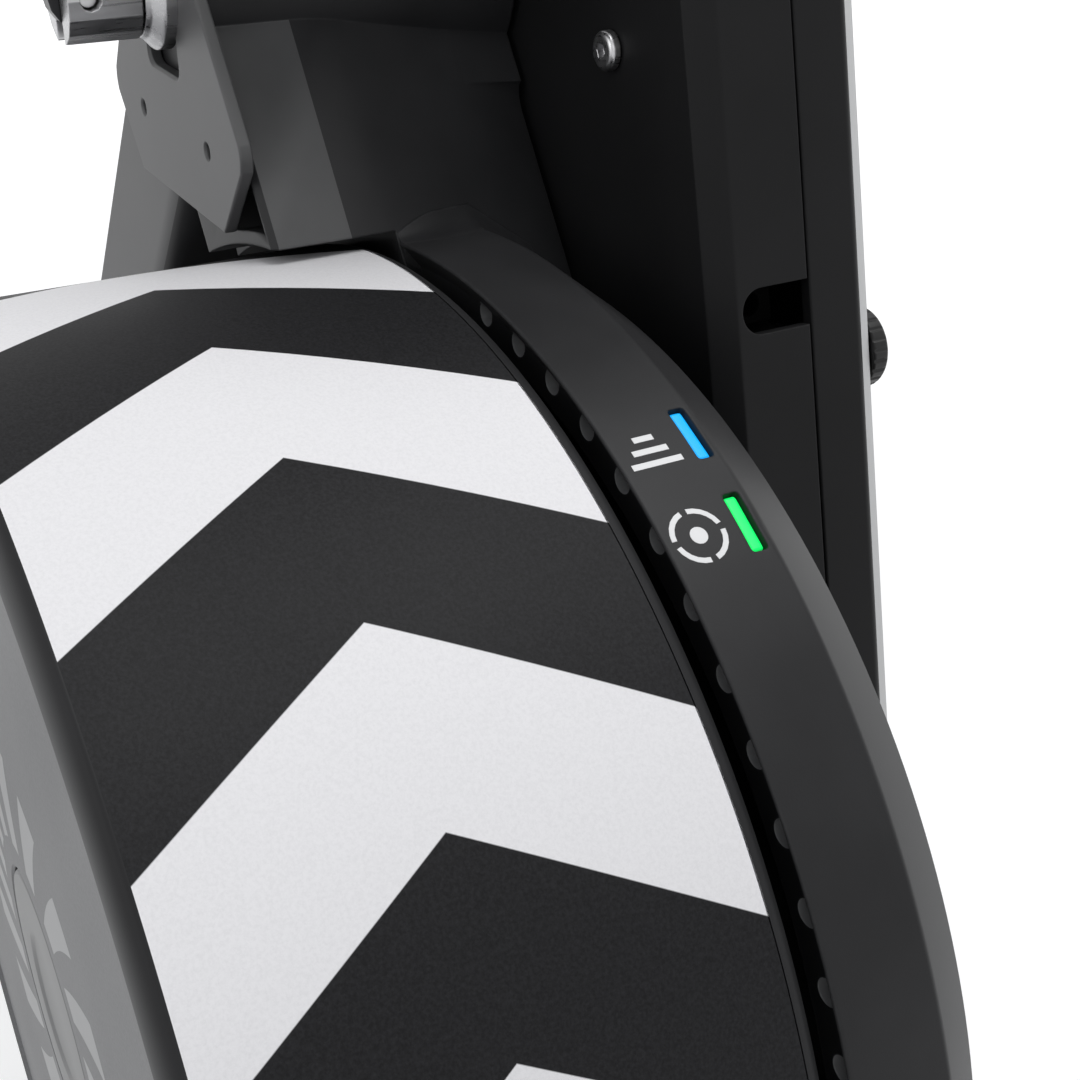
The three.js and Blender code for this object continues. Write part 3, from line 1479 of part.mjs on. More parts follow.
piece('axle_end_right', moved(axleEndRightBody(), axleX, 0, axleRise), steelColor, 0.3, 0.9);
piece('hub_bearing_left', moved(bearingBody(hubBearingRadius, axleRadius + seat, hubLeftY - hubBearingWidth, hubLeftY),
  axleX, 0, axleRise), steelColor, 0.3, 0.9);
piece('hub_bearing_right', moved(bearingBody(hubBearingRadius, axleRadius + seat, hubRightY, hubRightY + hubBearingWidth),
  axleX, 0, axleRise), steelColor, 0.3, 0.9);
piece('freehub_body', moved(freehubBody(), axleX, 0, axleRise), steelColor, 0.35, 0.9);
piece('freehub_bearing_inner', moved(bearingBody(hubBearingRadius, axleRadius + seat,
  freehubHighY - hubBearingWidth, freehubHighY), axleX, 0, axleRise), steelColor, 0.3, 0.9);
piece('freehub_bearing_outer', moved(bearingBody(hubBearingRadius, axleRadius + seat,
  freehubLowY, freehubLowY + hubBearingWidth), axleX, 0, axleRise), steelColor, 0.3, 0.9);
piece('skewer', moved(skewerBody(), axleX, 0, axleRise), steelColor, 0.3, 0.9);
piece('skewer_lever', moved(leverBody(), axleX, 0, axleRise), caseColor, 0.4, 0.5);
piece('lever_pin', moved(leverPinBody(), axleX, 0, axleRise), steelColor, 0.3, 0.9);
piece('skewer_nut', moved(nutBody(), axleX, 0, axleRise), caseColor, 0.4, 0.5);
piece('speed_sensor', sensorBody(), rubberColor, 0.5, 0.0);
piece('sensor_screw', sensorScrewBody(), steelColor, 0.35, 0.9);
piece('lens_blue', lensBody(blueAngle), 0x10a5f5, 0.3, 0.0);
piece('lens_green', lensBody(greenAngle), 0x12f56a, 0.3, 0.0);
piece('indicator_board', ledBoardBody(), 0x1f5d3a, 0.6, 0.0);
piece('control_board', controlBoardBody(), 0x1f5d3a, 0.6, 0.0);
piece('power_socket', jackBody(), rubberColor, 0.5, 0.0);
screwPlaces.forEach(([x, z], i) => {
  piece(`case_screw_${i + 1}`, screwBody(x, z), steelColor, 0.35, 0.9);
});
piece('rear_foot_bar', barBody(barX, standWidth, rearBoltPlaces()), castColor, 0.55, 0.35);
piece('front_foot_bar', barBody(frontBarX, frontWidth, frontBoltPlaces()), castColor, 0.55, 0.35);
for (const [end, x, width] of [['rear', barX, standWidth], ['front', frontBarX, frontWidth]]) {
  for (const [sideName, side] of [['left', 1], ['right', -1]]) {
    piece(`${end}_end_cap_${sideName}`, barCapBody(x, width, side), rubberColor, 0.8, 0.0);
    piece(`${end}_foot_pad_${sideName}`, padBody(x, footCentreY + side * (width / 2 - padInset)), rubberColor, 0.9, 0.0);
  }
}
rearBoltPlaces().forEach(([x, y], i) => piece(`rear_bolt_${i + 1}`, boltBody(x, y), steelColor, 0.35, 0.9));
frontBoltPlaces().forEach(([x, y], i) => piece(`front_bolt_${i + 1}`, boltBody(x, y), steelColor, 0.35, 0.9));

const trainer = new THREE.Group();
const machine = new THREE.Group();
pieces.forEach((mesh) => machine.add(mesh));
const rearEdge = barX - barBase / 2;
const frontEdge = frontBarX + barBase / 2;
machine.position.set(-(rearEdge + frontEdge) / 2, -footCentreY, drumAxisHeight);
trainer.add(machine);

export default trainer;
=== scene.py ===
"""Looks of a direct drive bike trainer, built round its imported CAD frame.

Lengths in the size classes are millimetres from the flywheel's axis: X forward,
Y to the left (flywheel side), Z up. Every mesh is moved into the frame, in
metres, just before it becomes an object.
"""

from __future__ import annotations

import json
import logging
import math
from dataclasses import dataclass
from enum import Enum
from typing import Callable, Iterable, Sequence

import bmesh
import bpy
from mathutils import Matrix, Vector

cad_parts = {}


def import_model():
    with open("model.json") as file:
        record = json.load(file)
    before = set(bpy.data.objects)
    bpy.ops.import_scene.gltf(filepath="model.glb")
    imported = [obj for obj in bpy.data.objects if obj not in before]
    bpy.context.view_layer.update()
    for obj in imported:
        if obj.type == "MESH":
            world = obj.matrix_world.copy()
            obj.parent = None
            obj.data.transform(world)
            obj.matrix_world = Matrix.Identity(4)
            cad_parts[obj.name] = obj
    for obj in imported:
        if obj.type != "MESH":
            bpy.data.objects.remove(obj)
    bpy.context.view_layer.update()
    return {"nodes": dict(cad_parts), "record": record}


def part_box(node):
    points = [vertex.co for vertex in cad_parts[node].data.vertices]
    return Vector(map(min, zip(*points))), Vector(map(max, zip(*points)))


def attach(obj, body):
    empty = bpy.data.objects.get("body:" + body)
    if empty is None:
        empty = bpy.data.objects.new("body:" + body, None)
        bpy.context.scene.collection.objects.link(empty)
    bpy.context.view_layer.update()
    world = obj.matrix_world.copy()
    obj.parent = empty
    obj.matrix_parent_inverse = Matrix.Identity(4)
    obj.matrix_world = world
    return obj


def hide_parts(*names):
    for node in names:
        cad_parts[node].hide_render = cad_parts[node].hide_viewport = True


LOG = logging.getLogger("trainer")
MM = 0.001
TURN = 2 * math.pi
QUARTER = math.pi / 2
# How far a cutting tool sticks out of what it cuts, in millimetres.
PAST = 2.0
Pair = tuple[float, float]
Triple = tuple[float, float, float]
Rgba = tuple[float, float, float, float]
Mesh = bmesh.types.BMesh
Socket = bpy.types.NodeSocket


class Body(str, Enum):
    """Bodies of the frame that the scene's pieces ride."""

    FRAME = "frame"
    FLYWHEEL = "flywheel"
    FREEHUB = "freehub"
    TENSIONER = "tensioner"


class Slot(str, Enum):
    """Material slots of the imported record."""

    CAST = "cast_frame"
    PLATE = "plate_metal"
    CASE = "case_plastic"
    PANEL = "panel_plastic"
    BLACK = "black_plastic"
    CAP = "cap_plastic"
    DRUM = "drum_iron"
    STEEL = "steel"
    ALLOY = "alloy"
    LEVER = "lever_metal"
    BELT = "belt_rubber"
    RUBBER = "foot_rubber"
    BLUE = "lens_blue"
    GREEN = "lens_green"
    BOARD = "board"
    BAR = "bar_metal"


@dataclass(frozen=True)
class Finish:
    """How one material looks.

    Colours are linear RGB. Grain, its height and the worn edge's radius are
    millimetres, the rest are shares.
    """

    color: Triple
    roughness: float = 0.5
    metallic: float = 0.0
    grain: float = 0.2
    grain_height: float = 0.01
    mottling: float = 0.15
    edge_radius: float = 0.4
    edge_light: float = 0.25
    specular: float = 0.5
    glow: float = 0.0
    brushed: bool = False


# Colour, roughness, metallic, grain, its height, mottling, edge radius, edge light, specular.
FINISHES: dict[Slot, Finish] = {
    Slot.CAST: Finish((0.021, 0.021, 0.022), 0.42, 0.0, 0.35, 0.018, 0.18, 0.5, 0.5, 0.14),
    Slot.PLATE: Finish((0.085, 0.085, 0.086), 0.46, 0.0, 0.3, 0.012, 0.12, 0.4, 0.6, 0.35),
    Slot.CASE: Finish((0.0095, 0.0095, 0.010), 0.50, 0.0, 0.3, 0.016, 0.15, 0.4, 0.5, 0.12),
    Slot.PANEL: Finish((0.72, 0.72, 0.715), 0.42, 0.0, 0.3, 0.006, 0.02, 0.3, 0.02),
    Slot.BLACK: Finish((0.008, 0.008, 0.008), 0.38, 0.0, 0.25, 0.008, 0.1, 0.3, 0.4, 0.3),
    Slot.CAP: Finish((0.17, 0.17, 0.17), 0.45, 0.0, 0.3, 0.006, 0.08, 0.3, 0.1),
    Slot.DRUM: Finish((0.80, 0.79, 0.80), 0.5, 0.0, 0.3, 0.01, 0.1, 0.3, 0.1),
    Slot.STEEL: Finish((0.42, 0.42, 0.43), 0.30, 1.0, 0.4, 0.004, 0.12, 0.3, 0.2, brushed=True),
    Slot.ALLOY: Finish((0.52, 0.53, 0.54), 0.34, 1.0, 0.4, 0.004, 0.1, 0.3, 0.2, brushed=True),
    Slot.LEVER: Finish((0.018, 0.018, 0.020), 0.35, 0.6, 0.3, 0.005, 0.1, 0.4, 0.5),
    Slot.BELT: Finish((0.011, 0.011, 0.011), 0.8, 0.0, 0.4, 0.02, 0.2, 0.3, 0.2),
    Slot.RUBBER: Finish((0.013, 0.013, 0.013), 0.75, 0.0, 0.5, 0.03, 0.25, 0.4, 0.4, 0.3),
    Slot.BLUE: Finish((0.005, 0.30, 0.75), 0.3, 0.0, 0.3, 0.002, 0.02, 0.2, 0.0, 0.2, glow=0.8),
    Slot.GREEN: Finish((0.006, 0.74, 0.12), 0.3, 0.0, 0.3, 0.002, 0.02, 0.2, 0.0, 0.2, glow=0.8),
    Slot.BOARD: Finish((0.02, 0.11, 0.05), 0.45, 0.0, 0.5, 0.005, 0.2, 0.2, 0.1),
    Slot.BAR: Finish((0.024, 0.024, 0.025), 0.5, 0.0, 0.3, 0.014, 0.15, 0.4, 0.4, 0.35),
}


# Finishes of places that have no material slot of their own. The strip's is the cast colour made
# lighter, a painted highlight on the column's strip and the front leg's left face; the notches'
# light grey is painted light in the ring's shaded lip notches.
EXTRA_FINISHES: dict[str, tuple[str, Finish]] = {
    "rim": ("drum_rim_finish",
            Finish((0.020, 0.020, 0.021), 0.45, 0.0, 0.3, 0.008, 0.1, 0.3, 0.2, 0.12)),
    # Painted highlight: a lighter copy of the cast colour for the column's strip and the front
    # leg's left face.
    "strip": ("strip_painted_highlight",
              Finish((0.066, 0.066, 0.067), 0.46, 0.0, 0.3, 0.014, 0.15, 0.5, 0.5, 0.3)),
    # Painted light: light grey in the ring's lip notches, which lie in shade.
    "notch": ("notch_painted_light", Finish((0.34, 0.34, 0.34), 0.4, 0.0, 0.3, 0.008, 0.1, 0.3, 0.2)),
    "deep": ("socket_finish",
             Finish((0.002, 0.002, 0.002), 0.8, 0.0, 0.3, 0.008, 0.1, 0.3, 0.0, 0.05)),
    "marks": ("marks_finish", Finish((0.72, 0.72, 0.72), 0.5, 0.0, 0.3, 0.002, 0.02, 0.1, 0.0)),
}


@dataclass(frozen=True)
class MachineSizes:
    """Sizes that several sub-assemblies share, in millimetres."""

    axle_x: float = 56.0
    axle_z: float = 156.0
    drum_radius: float = 120.0
    drum_left: float = 37.4
    frame_left: float = -20.2
    frame_right: float = -75.5
    case_left: float = -76.8
    seat: float = 0.3
    axle_hole: float = 6.3
    sensor_at: Pair = (7.6, 148.4)

    @property
    def axle(self) -> Pair:
        """The axle's place, as (x, z)."""
        return self.axle_x, self.axle_z

    @property
    def reach(self) -> float:
        """Distance from the flywheel's axis to the axle."""
        return math.hypot(*self.axle)

    @property
    def lean(self) -> float:
        """Lean of the line of centres from upright, in radians."""
        return math.atan2(*self.axle)


SIZES = MachineSizes()


class Places:
    """Turns millimetres round the flywheel's axis into the frame's metres."""

    origin = Vector((0.0, 0.0, 0.0))

    @classmethod
    def settle(cls) -> None:
        """Reads the flywheel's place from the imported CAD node."""
        low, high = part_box("flywheel_drum")
        middle = (low + high) / 2
        cls.origin = Vector((middle.x, high.y - SIZES.drum_left * MM, middle.z))
        LOG.info("flywheel axis at %s", tuple(round(v, 5) for v in cls.origin))

    @classmethod
    def matrix(cls) -> Matrix:
        """Returns: the matrix from machine millimetres to frame metres."""
        return Matrix.Translation(cls.origin) @ Matrix.Diagonal((MM, MM, MM, 1.0))

    @classmethod
    def point(cls, x: float, y: float, z: float) -> Vector:
        """Returns: a machine point as a frame point."""
        return cls.matrix() @ Vector((x, y, z))


class Outlines:
    """Closed outlines in the X-Z plane, as lists of (x, z)."""

    @staticmethod
    def arc(cx: float, cz: float, radius: float, start: float, end: float,
            steps: int) -> list[Pair]:
        """Points along an arc.

        Args:
            cx: centre along X.
            cz: centre along Z.
            radius: radius of the arc.
            start: first angle in radians, from +X towards +Z.
            end: last angle.
            steps: number of spans.

        Returns:
            steps + 1 points.
        """
        return [
            (cx + radius * math.cos(start + (end - start) * i / steps),
             cz + radius * math.sin(start + (end - start) * i / steps))
            for i in range(steps + 1)
        ]

    @staticmethod
    def curve(a: Pair, b: Pair, c: Pair, steps: int = 12) -> list[Pair]:
        """Points along a quadratic curve from a to c, drawn towards b, without a itself.

        Args:
            a: where it starts.
            b: the point that draws it.
            c: where it ends.
            steps: the number of points.

        Returns:
            the points.
        """
        points = []
        for i in range(1, steps + 1):
            t = i / steps
            k = 1 - t
            points.append((k * k * a[0] + 2 * k * t * b[0] + t * t * c[0],
                           k * k * a[1] + 2 * k * t * b[1] + t * t * c[1]))
        return points

    @staticmethod
    def rounding(radius: float, level: float, edge: float, up: bool = True) -> list[Pair]:
        """Points of (radius, y) that round a turned edge off.

        Args:
            radius: the piece's full radius.
            level: the height of its flat end.
            edge: the rounding's radius.
            up: runs up from the side to the flat end, otherwise from the flat end to the side.

        Returns:
            four points.
        """
        points = []
        for t in (0.4, 0.8, 1.2, 1.5708):
            near, far = edge * (1 - math.cos(t)), edge - edge * math.sin(t)
            points.append((radius - near, level - far) if up else (radius - far, level + near))
        return points

    @staticmethod
    def capsule(top: float, foot: float, steps: int = 48) -> list[Pair]:
        """Round ends about the axle and the flywheel's axis, joined by straight sides.

        Args:
            top: the radius about the axle.
            foot: the radius about the flywheel.
            steps: parts of each round end.

        Returns:
            the outline.
        """
        swing = math.asin((top - foot) / SIZES.reach)
        rear = SIZES.lean - swing
        front = SIZES.lean + swing
        low = Outlines.arc(0, 0, foot, math.pi - rear, TURN - front, steps)
        high = Outlines.arc(SIZES.axle_x, SIZES.axle_z, top, -front, math.pi - rear, steps)
        return low + high

    @staticmethod
    def mirrored(right: list[Pair], middle: float = 0.0) -> list[Pair]:
        """The right half of an outline and its mirror image, about x = middle."""
        return [(middle + x, z) for x, z in right + [(-x, z) for x, z in reversed(right)]]

    @staticmethod
    def handle(inset: float, sizes: "HandleSizes") -> list[Pair]:
        """The loop handle's outline, drawn in by inset.

        Args:
            inset: how far inwards.
            sizes: the handle's sizes.

        Returns:
            the outline.
        """
        foot = sizes.foot_half - inset / 2
        grip = sizes.grip_half - inset
        low = sizes.foot_z + inset
        high = sizes.foot_z + sizes.rise - inset
        bend = sizes.foot_z + sizes.shoulder + inset / 2
        turn = sizes.round - inset / 2
        right = [(foot, low), (grip - turn / 2, bend)]
        right += Outlines.curve(right[-1], (grip, bend + turn / 2), (grip, bend + turn))
        right += Outlines.curve(right[-1], (grip, high), (grip - turn, high))
        return Outlines.mirrored(right, SIZES.axle_x)

    @staticmethod
    def bar(inset: float, sizes: "FootSizes") -> list[Pair]:
        """The foot bar's section about its own middle.

        Args:
            inset: how far inwards.
            sizes: the bar's sizes.

        Returns:
            the section.
        """
        base = sizes.base / 2 - inset
        top = sizes.top / 2 - inset
        low = sizes.low + inset
        high = sizes.low + sizes.height - inset
        r = sizes.round
        right = [(base - r, low)]
        right += Outlines.curve(right[-1], (base, low), (base, low + r), 8)
        right += Outlines.curve(right[-1], (base, high), (top - r, high), 16)
        return Outlines.mirrored(right)


class Mesher:
    """Makes meshes from bmesh operators, in machine millimetres."""

    @staticmethod
    def turned(profile: Sequence[Pair], steps: int = 96, closed: bool = True,
               centre: Pair = (0.0, 0.0)) -> Mesh:
        """A profile of (radius, y) turned about an axis along Y.

        Args:
            profile: points of the profile.
            steps: spans round the axis.
            closed: joins the last point to the first.
            centre: the axis's (x, z).

        Returns:
            the mesh.
        """
        points = [Vector((r, y, 0.0)) for r, y in profile]
        at = Vector((centre[0], 0.0, centre[1]))
        return Mesher.spun(points, Vector((0, 1, 0)), steps, closed, at)

    @staticmethod
    def spun(points: Sequence[Vector], axis: Vector, steps: int, closed: bool, at: Vector) -> Mesh:
        """A run of points turned once round an axis through the origin, then moved.

        Args:
            points: the run of points.
            axis: the axis.
            steps: parts of the turn.
            closed: whether the run is a loop.
            at: where to move the result.

        Returns:
            the mesh.
        """
        bm = bmesh.new()
        verts = [bm.verts.new(p) for p in points]
        edges = [bm.edges.new(pair) for pair in zip(verts, verts[1:])]
        if closed:
            edges.append(bm.edges.new((verts[-1], verts[0])))
        bmesh.ops.spin(bm, geom=verts + edges, cent=(0, 0, 0), axis=axis, angle=TURN,
                       steps=steps, use_merge=True)
        bmesh.ops.remove_doubles(bm, verts=bm.verts, dist=1e-4)
        bmesh.ops.translate(bm, verts=bm.verts, vec=at)
        return bm

    @staticmethod
    def rod(radius: float, low: float, high: float, centre: Pair = (0.0, 0.0),
            steps: int = 64) -> Mesh:
        """A plain round bar along Y, about an axis at (x, z)."""
        profile = [(0, low), (radius, low), (radius, high), (0, high)]
        return Mesher.turned(profile, steps, False, centre)

    @staticmethod
    def upright(radius: float, low: float, high: float, x: float, y: float) -> Mesh:
        """A plain round bar along Z.

        Args:
            radius: the bar's radius.
            low: its foot.
            high: its top.
            x: the place of its axis along X.
            y: the place of its axis along Y.

        Returns:
            the mesh.
        """
        bm = bmesh.new()
        bmesh.ops.create_cone(bm, cap_ends=True, segments=32, radius1=radius, radius2=radius,
                              depth=high - low)
        bmesh.ops.translate(bm, verts=bm.verts, vec=(x, y, (low + high) / 2))
        return bm

    @staticmethod
    def loft(rings: Sequence[Sequence[Vector]], loop: bool = False) -> Mesh:
        """Joins rings of equal length, one after the other.

        Args:
            rings: the rings, each a closed run of points.
            loop: joins the last ring to the first instead of closing both.

        Returns:
            the mesh.
        """
        bm = bmesh.new()
        made = [[bm.verts.new(p) for p in ring] for ring in rings]
        pairs = list(zip(made, made[1:]))
        if loop:
            pairs.append((made[-1], made[0]))
        for a, b in pairs:
            count = len(a)
            for i in range(count):
                j = (i + 1) % count
                bm.faces.new((a[i], a[j], b[j], b[i]))
        if not loop:
            bm.faces.new(list(reversed(made[0])))
            bm.faces.new(made[-1])
        bmesh.ops.recalc_face_normals(bm, faces=bm.faces)
        return bm

    @staticmethod
    def layered(outline: Callable[[float], list[Pair]], layers: Sequence[Pair], shift: float = 0.0,
                loop: bool = False) -> Mesh:
        """Lofts an outline along Y.

        Args:
            outline: gives the outline for an inset.
            layers: (inset, y) of each ring.
            shift: moves the outline along X.
            loop: joins the last ring to the first.

        Returns:
            the mesh.
        """
        rings = [[Vector((x + shift, y, z)) for x, z in outline(inset)] for inset, y in layers]
        return Mesher.loft(rings, loop=loop)

    @staticmethod
    def slab(points: Sequence[Pair], low: float, high: float, bevel: float = 0.0,
             segments: int = 3) -> Mesh:
        """An outline in the X-Z plane pushed along Y, its sharp edges rounded.

        Args:
            points: the outline.
            low: where it starts along Y.
            high: where it ends along Y.
            bevel: the rounding's size.
            segments: the rounding's steps.

        Returns:
            the mesh.
        """
        bm = Mesher.loft([[Vector((x, y, z)) for x, z in points] for y in (low, high)])
        if bevel > 0:
            Mesher.soften(bm, bevel, segments)
        return bm

    @staticmethod
    def placed(bm: Mesh, turn: float, at: Sequence[float]) -> Mesh:
        """The same mesh, turned about Y and then moved.

        Args:
            bm: the mesh.
            turn: the angle about Y.
            at: the move.

        Returns:
            the mesh.
        """
        bmesh.ops.rotate(bm, verts=bm.verts, cent=(0, 0, 0), matrix=Matrix.Rotation(turn, 3, "Y"))
        bmesh.ops.translate(bm, verts=bm.verts, vec=at)
        return bm

    @staticmethod
    def box(size: Sequence[float], at: Sequence[float], turn: float = 0.0,
            bevel: float = 0.0) -> Mesh:
        """A box, turned about Y and rounded.

        Args:
            size: its three sides.
            at: its middle.
            turn: the angle about Y.
            bevel: the rounding's size.

        Returns:
            the mesh.
        """
        bm = bmesh.new()
        bmesh.ops.create_cube(bm, size=1.0)
        bmesh.ops.scale(bm, vec=size, verts=bm.verts)
        if bevel > 0:
            Mesher.soften(bm, bevel)
        return Mesher.placed(bm, turn, at)

    @staticmethod
    def soften(bm: Mesh, radius: float, segments: int = 3, sharp: float = 35.0) -> None:
        """Rounds every edge sharper than an angle in degrees.

        Args:
            bm: the mesh.
            radius: the rounding's size.
            segments: the rounding's steps.
            sharp: the least angle of an edge that is rounded.
        """
        limit = math.radians(sharp)
        edges = [e for e in bm.edges if len(e.link_faces) == 2 and e.calc_face_angle(0.0) > limit]
        bmesh.ops.bevel(bm, geom=edges, offset=radius, offset_type="OFFSET", segments=segments,
                        profile=0.5, affect="EDGES", clamp_overlap=True, material=-1)

    @staticmethod
    def joined(parts: Iterable[Mesh]) -> Mesh:
        """Several meshes in one.

        Args:
            parts: the meshes; all are used up.

        Returns:
            the one mesh.
        """
        whole = bmesh.new()
        for part in parts:
            mesh = bpy.data.meshes.new("part")
            part.to_mesh(mesh)
            part.free()
            whole.from_mesh(mesh)
            bpy.data.meshes.remove(mesh)
        return whole

    @staticmethod
    def leaning(points: Sequence[Pair], low: float, high: float, tilt: float, at: Pair) -> Mesh:
        """A section in (across, y) pushed along an axis that leans forward by tilt."""
        rings = [[Vector((a, y, along)) for a, y in points] for along in (low, high)]
        return Mesher.placed(Mesher.loft(rings), tilt, (at[0], 0.0, at[1]))


class Graph:
    """A node tree that starts out empty."""

    def __init__(self, owner: bpy.types.Material | bpy.types.World) -> None:
        """Empties the node tree of its owner.

        Args:
            owner: the material or world.
        """
        owner.use_nodes = True
        self.tree = owner.node_tree
        self.tree.nodes.clear()

    def node(self, kind: str, inputs: dict[str | int, object] | None = None,
             **settings: object) -> bpy.types.Node:
        """Adds a node.

        Args:
            kind: the node's type.
            inputs: an output or a plain value for each input named.
            settings: the node's own settings.

        Returns:
            the node.
        """
        made = self.tree.nodes.new(kind)
        for key, value in settings.items():
            setattr(made, key, value)
        for key, value in (inputs or {}).items():
            self.link(value, made.inputs[key])
        return made

    def link(self, value: object, socket: Socket) -> None:
        """Joins an output to an input, or sets the input to a plain value.

        Args:
            value: an output or a plain value.
            socket: the input.
        """
        if isinstance(value, Socket):
            self.tree.links.new(value, socket)
        else:
            socket.default_value = value

    def math(self, operation: str, a: object, b: object = 0.0, clamp: bool = False) -> Socket:
        """One step of arithmetic."""
        made = self.node("ShaderNodeMath", {0: a, 1: b}, operation=operation, use_clamp=clamp)
        return made.outputs[0]

    def seen(self) -> Socket:
        """1 for what the camera sees, also in gloss and through glass, and 0 for other light."""
        path = self.node("ShaderNodeLightPath")
        shown = path.outputs["Is Camera Ray"]
        for ray in ("Is Glossy Ray", "Is Transmission Ray"):
            shown = self.math("MAXIMUM", shown, path.outputs[ray])
        return shown


class Shader(Graph):
    """Builds the node materials.

    Cells are millimetres. A range is (low, high) of a noise, then what these two become.
    """

    patch_cell = 28.0
    patch_range = (0.35, 0.65)
    worn_cell = 3.5
    worn_range = (0.42, 0.62, 0.25, 1.0)
    worn_tint = 2.6
    rough_spread = 0.1
    streak_cell = 0.6
    streak_stretch = (1.0, 0.06, 1.0)
    streak_range = (0.3, 0.7, -0.06, 0.08)
    brush_stretch = (1.0, 0.08, 1.0)
    edge_range = (0.995, 0.9)

    def __init__(self, name: str) -> None:
        """Makes the material with its surface and coordinates.

        Args:
            name: the material's name.
        """
        self.material = bpy.data.materials.new(name)
        super().__init__(self.material)
        output = self.node("ShaderNodeOutputMaterial")
        self.surface = self.node("ShaderNodeBsdfPrincipled")
        self.link(self.surface.outputs["BSDF"], output.inputs["Surface"])
        self.coords = self.node("ShaderNodeTexCoord")

    def mix(self, share: object, a: object, b: object) -> Socket:
        """A mix of two colours."""
        return self.node("ShaderNodeMix", {0: share, 6: a, 7: b}, data_type="RGBA").outputs[2]

    def noise(self, cell: float, detail: float = 2.0, stretch: Sequence[float] | None = None,
              roughness: float = 0.5) -> Socket:
        """Noise whose cells are about that many millimetres wide.

        Args:
            cell: the cells' width.
            detail: the number of finer layers.
            stretch: the scale along each axis.
            roughness: the finer layers' share.

        Returns:
            the noise, from 0 to 1.
        """
        source = self.coords.outputs["Object"]
        if stretch is not None:
            mapping = self.node("ShaderNodeMapping", {"Vector": source, "Scale": stretch})
            source = mapping.outputs["Vector"]
        made = self.node("ShaderNodeTexNoise", {"Vector": source, "Scale": 1.0 / (cell * MM),
                                                "Detail": detail, "Roughness": roughness})
        return made.outputs["Fac"]

    def ramp(self, value: object, low: float, high: float, to_low: float = 0.0,
             to_high: float = 1.0) -> Socket:
        """A value moved from one range to another and kept inside it."""
        parts = dict(enumerate((value, low, high, to_low, to_high)))
        return self.node("ShaderNodeMapRange", parts).outputs[0]

    def edges(self, radius: float) -> tuple[Socket, Socket]:
        """A rounded normal, and a mask of the sharp edges.

        Args:
            radius: the rounding's radius.

        Returns:
            a rounded normal, and a mask that is 1 along sharp edges.
        """
        bevel = self.node("ShaderNodeBevel", {"Radius": radius * MM}, samples=6).outputs["Normal"]
        flat = self.node("ShaderNodeNewGeometry").outputs["Normal"]
        dot = self.node("ShaderNodeVectorMath", {0: bevel, 1: flat}, operation="DOT_PRODUCT")
        return bevel, self.ramp(dot.outputs["Value"], *self.edge_range)

    def tint(self, color: Sequence[float], factor: float) -> Rgba:
        """A colour made lighter or darker."""
        return tuple(min(1.0, c * factor) for c in color[:3]) + (1.0,)

    def finish(self, look: Finish, base: Socket | None = None) -> bpy.types.Material:
        """Sets up the surface.

        Args:
            look: the finish.
            base: a colour socket that takes the place of the finish's own colour.

        Returns:
            the material.
        """
        soft_normal, edge = self.edges(look.edge_radius)
        patches = self.noise(self.patch_cell, 4.0)
        fine = self.noise(self.worn_cell, 3.0)
        if base is None:
            dark = self.tint(look.color, 1 - look.mottling)
            light = self.tint(look.color, 1 + look.mottling)
            base = self.mix(self.ramp(patches, *self.patch_range), dark, light)
            worn = self.math("MULTIPLY", edge, self.ramp(fine, *self.worn_range))
            worn = self.math("MULTIPLY", worn, look.edge_light)
            base = self.mix(worn, base, self.tint(look.color, self.worn_tint))
        spread = self.math("MULTIPLY", patches, self.rough_spread)
        rough = self.math("ADD", look.roughness - self.rough_spread / 2, spread)
        if look.brushed:
            streaks = self.noise(self.streak_cell, 2.0, self.streak_stretch)
            rough = self.math("ADD", rough, self.ramp(streaks, *self.streak_range))
            grain = self.noise(look.grain, 2.0, self.brush_stretch)
        else:
            grain = self.noise(look.grain, 3.0, roughness=0.6)
        bump = self.node("ShaderNodeBump", {"Strength": 1.0, "Distance": look.grain_height * MM,
                                            "Height": grain, "Normal": soft_normal})
        values = {"Base Color": base, "Metallic": look.metallic, "Roughness": rough,
                  "Specular IOR Level": look.specular, "Normal": bump.outputs["Normal"]}
        if look.glow > 0:
            values |= {"Emission Color": (*look.color, 1.0), "Emission Strength": look.glow}
        for key, value in values.items():
            self.link(value, self.surface.inputs[key])
        return self.material


@dataclass(frozen=True)
class PatternSizes:
    """The drum's printed pattern, in millimetres, degrees and shares."""

    left: float = 35.0
    right: float = -36.2
    middle: float = 0.2
    pairs: int = 14
    start: float = -6.5
    drop: float = 10.5
    wedges: float = 18.0
    wedge_slant: float = 0.12
    wedge_inner: float = 31.0
    wedge_outer: float = 54.0
    wedge_edge: float = 0.2
    sharpness: float = 45.0
    wedge_sharpness: float = 30.0
    speck: float = 0.5
    face_speck: float = 0.6
    dark_specks: Pair = (0.35, 0.7)
    dark_tints: Pair = (0.7, 1.5)
    light_specks: Pair = (0.3, 0.6)
    light_tints: Pair = (0.93, 1.0)
    face_specks: Pair = (0.3, 0.7)
    light: Triple = (0.80, 0.79, 0.80)
    dark: Triple = (0.013, 0.013, 0.014)
    plain_dark: Triple = (0.150, 0.150, 0.153)
    plain_light: Triple = (0.195, 0.195, 0.198)
    wedge: Triple = (0.42, 0.42, 0.42)


PATTERN = PatternSizes()


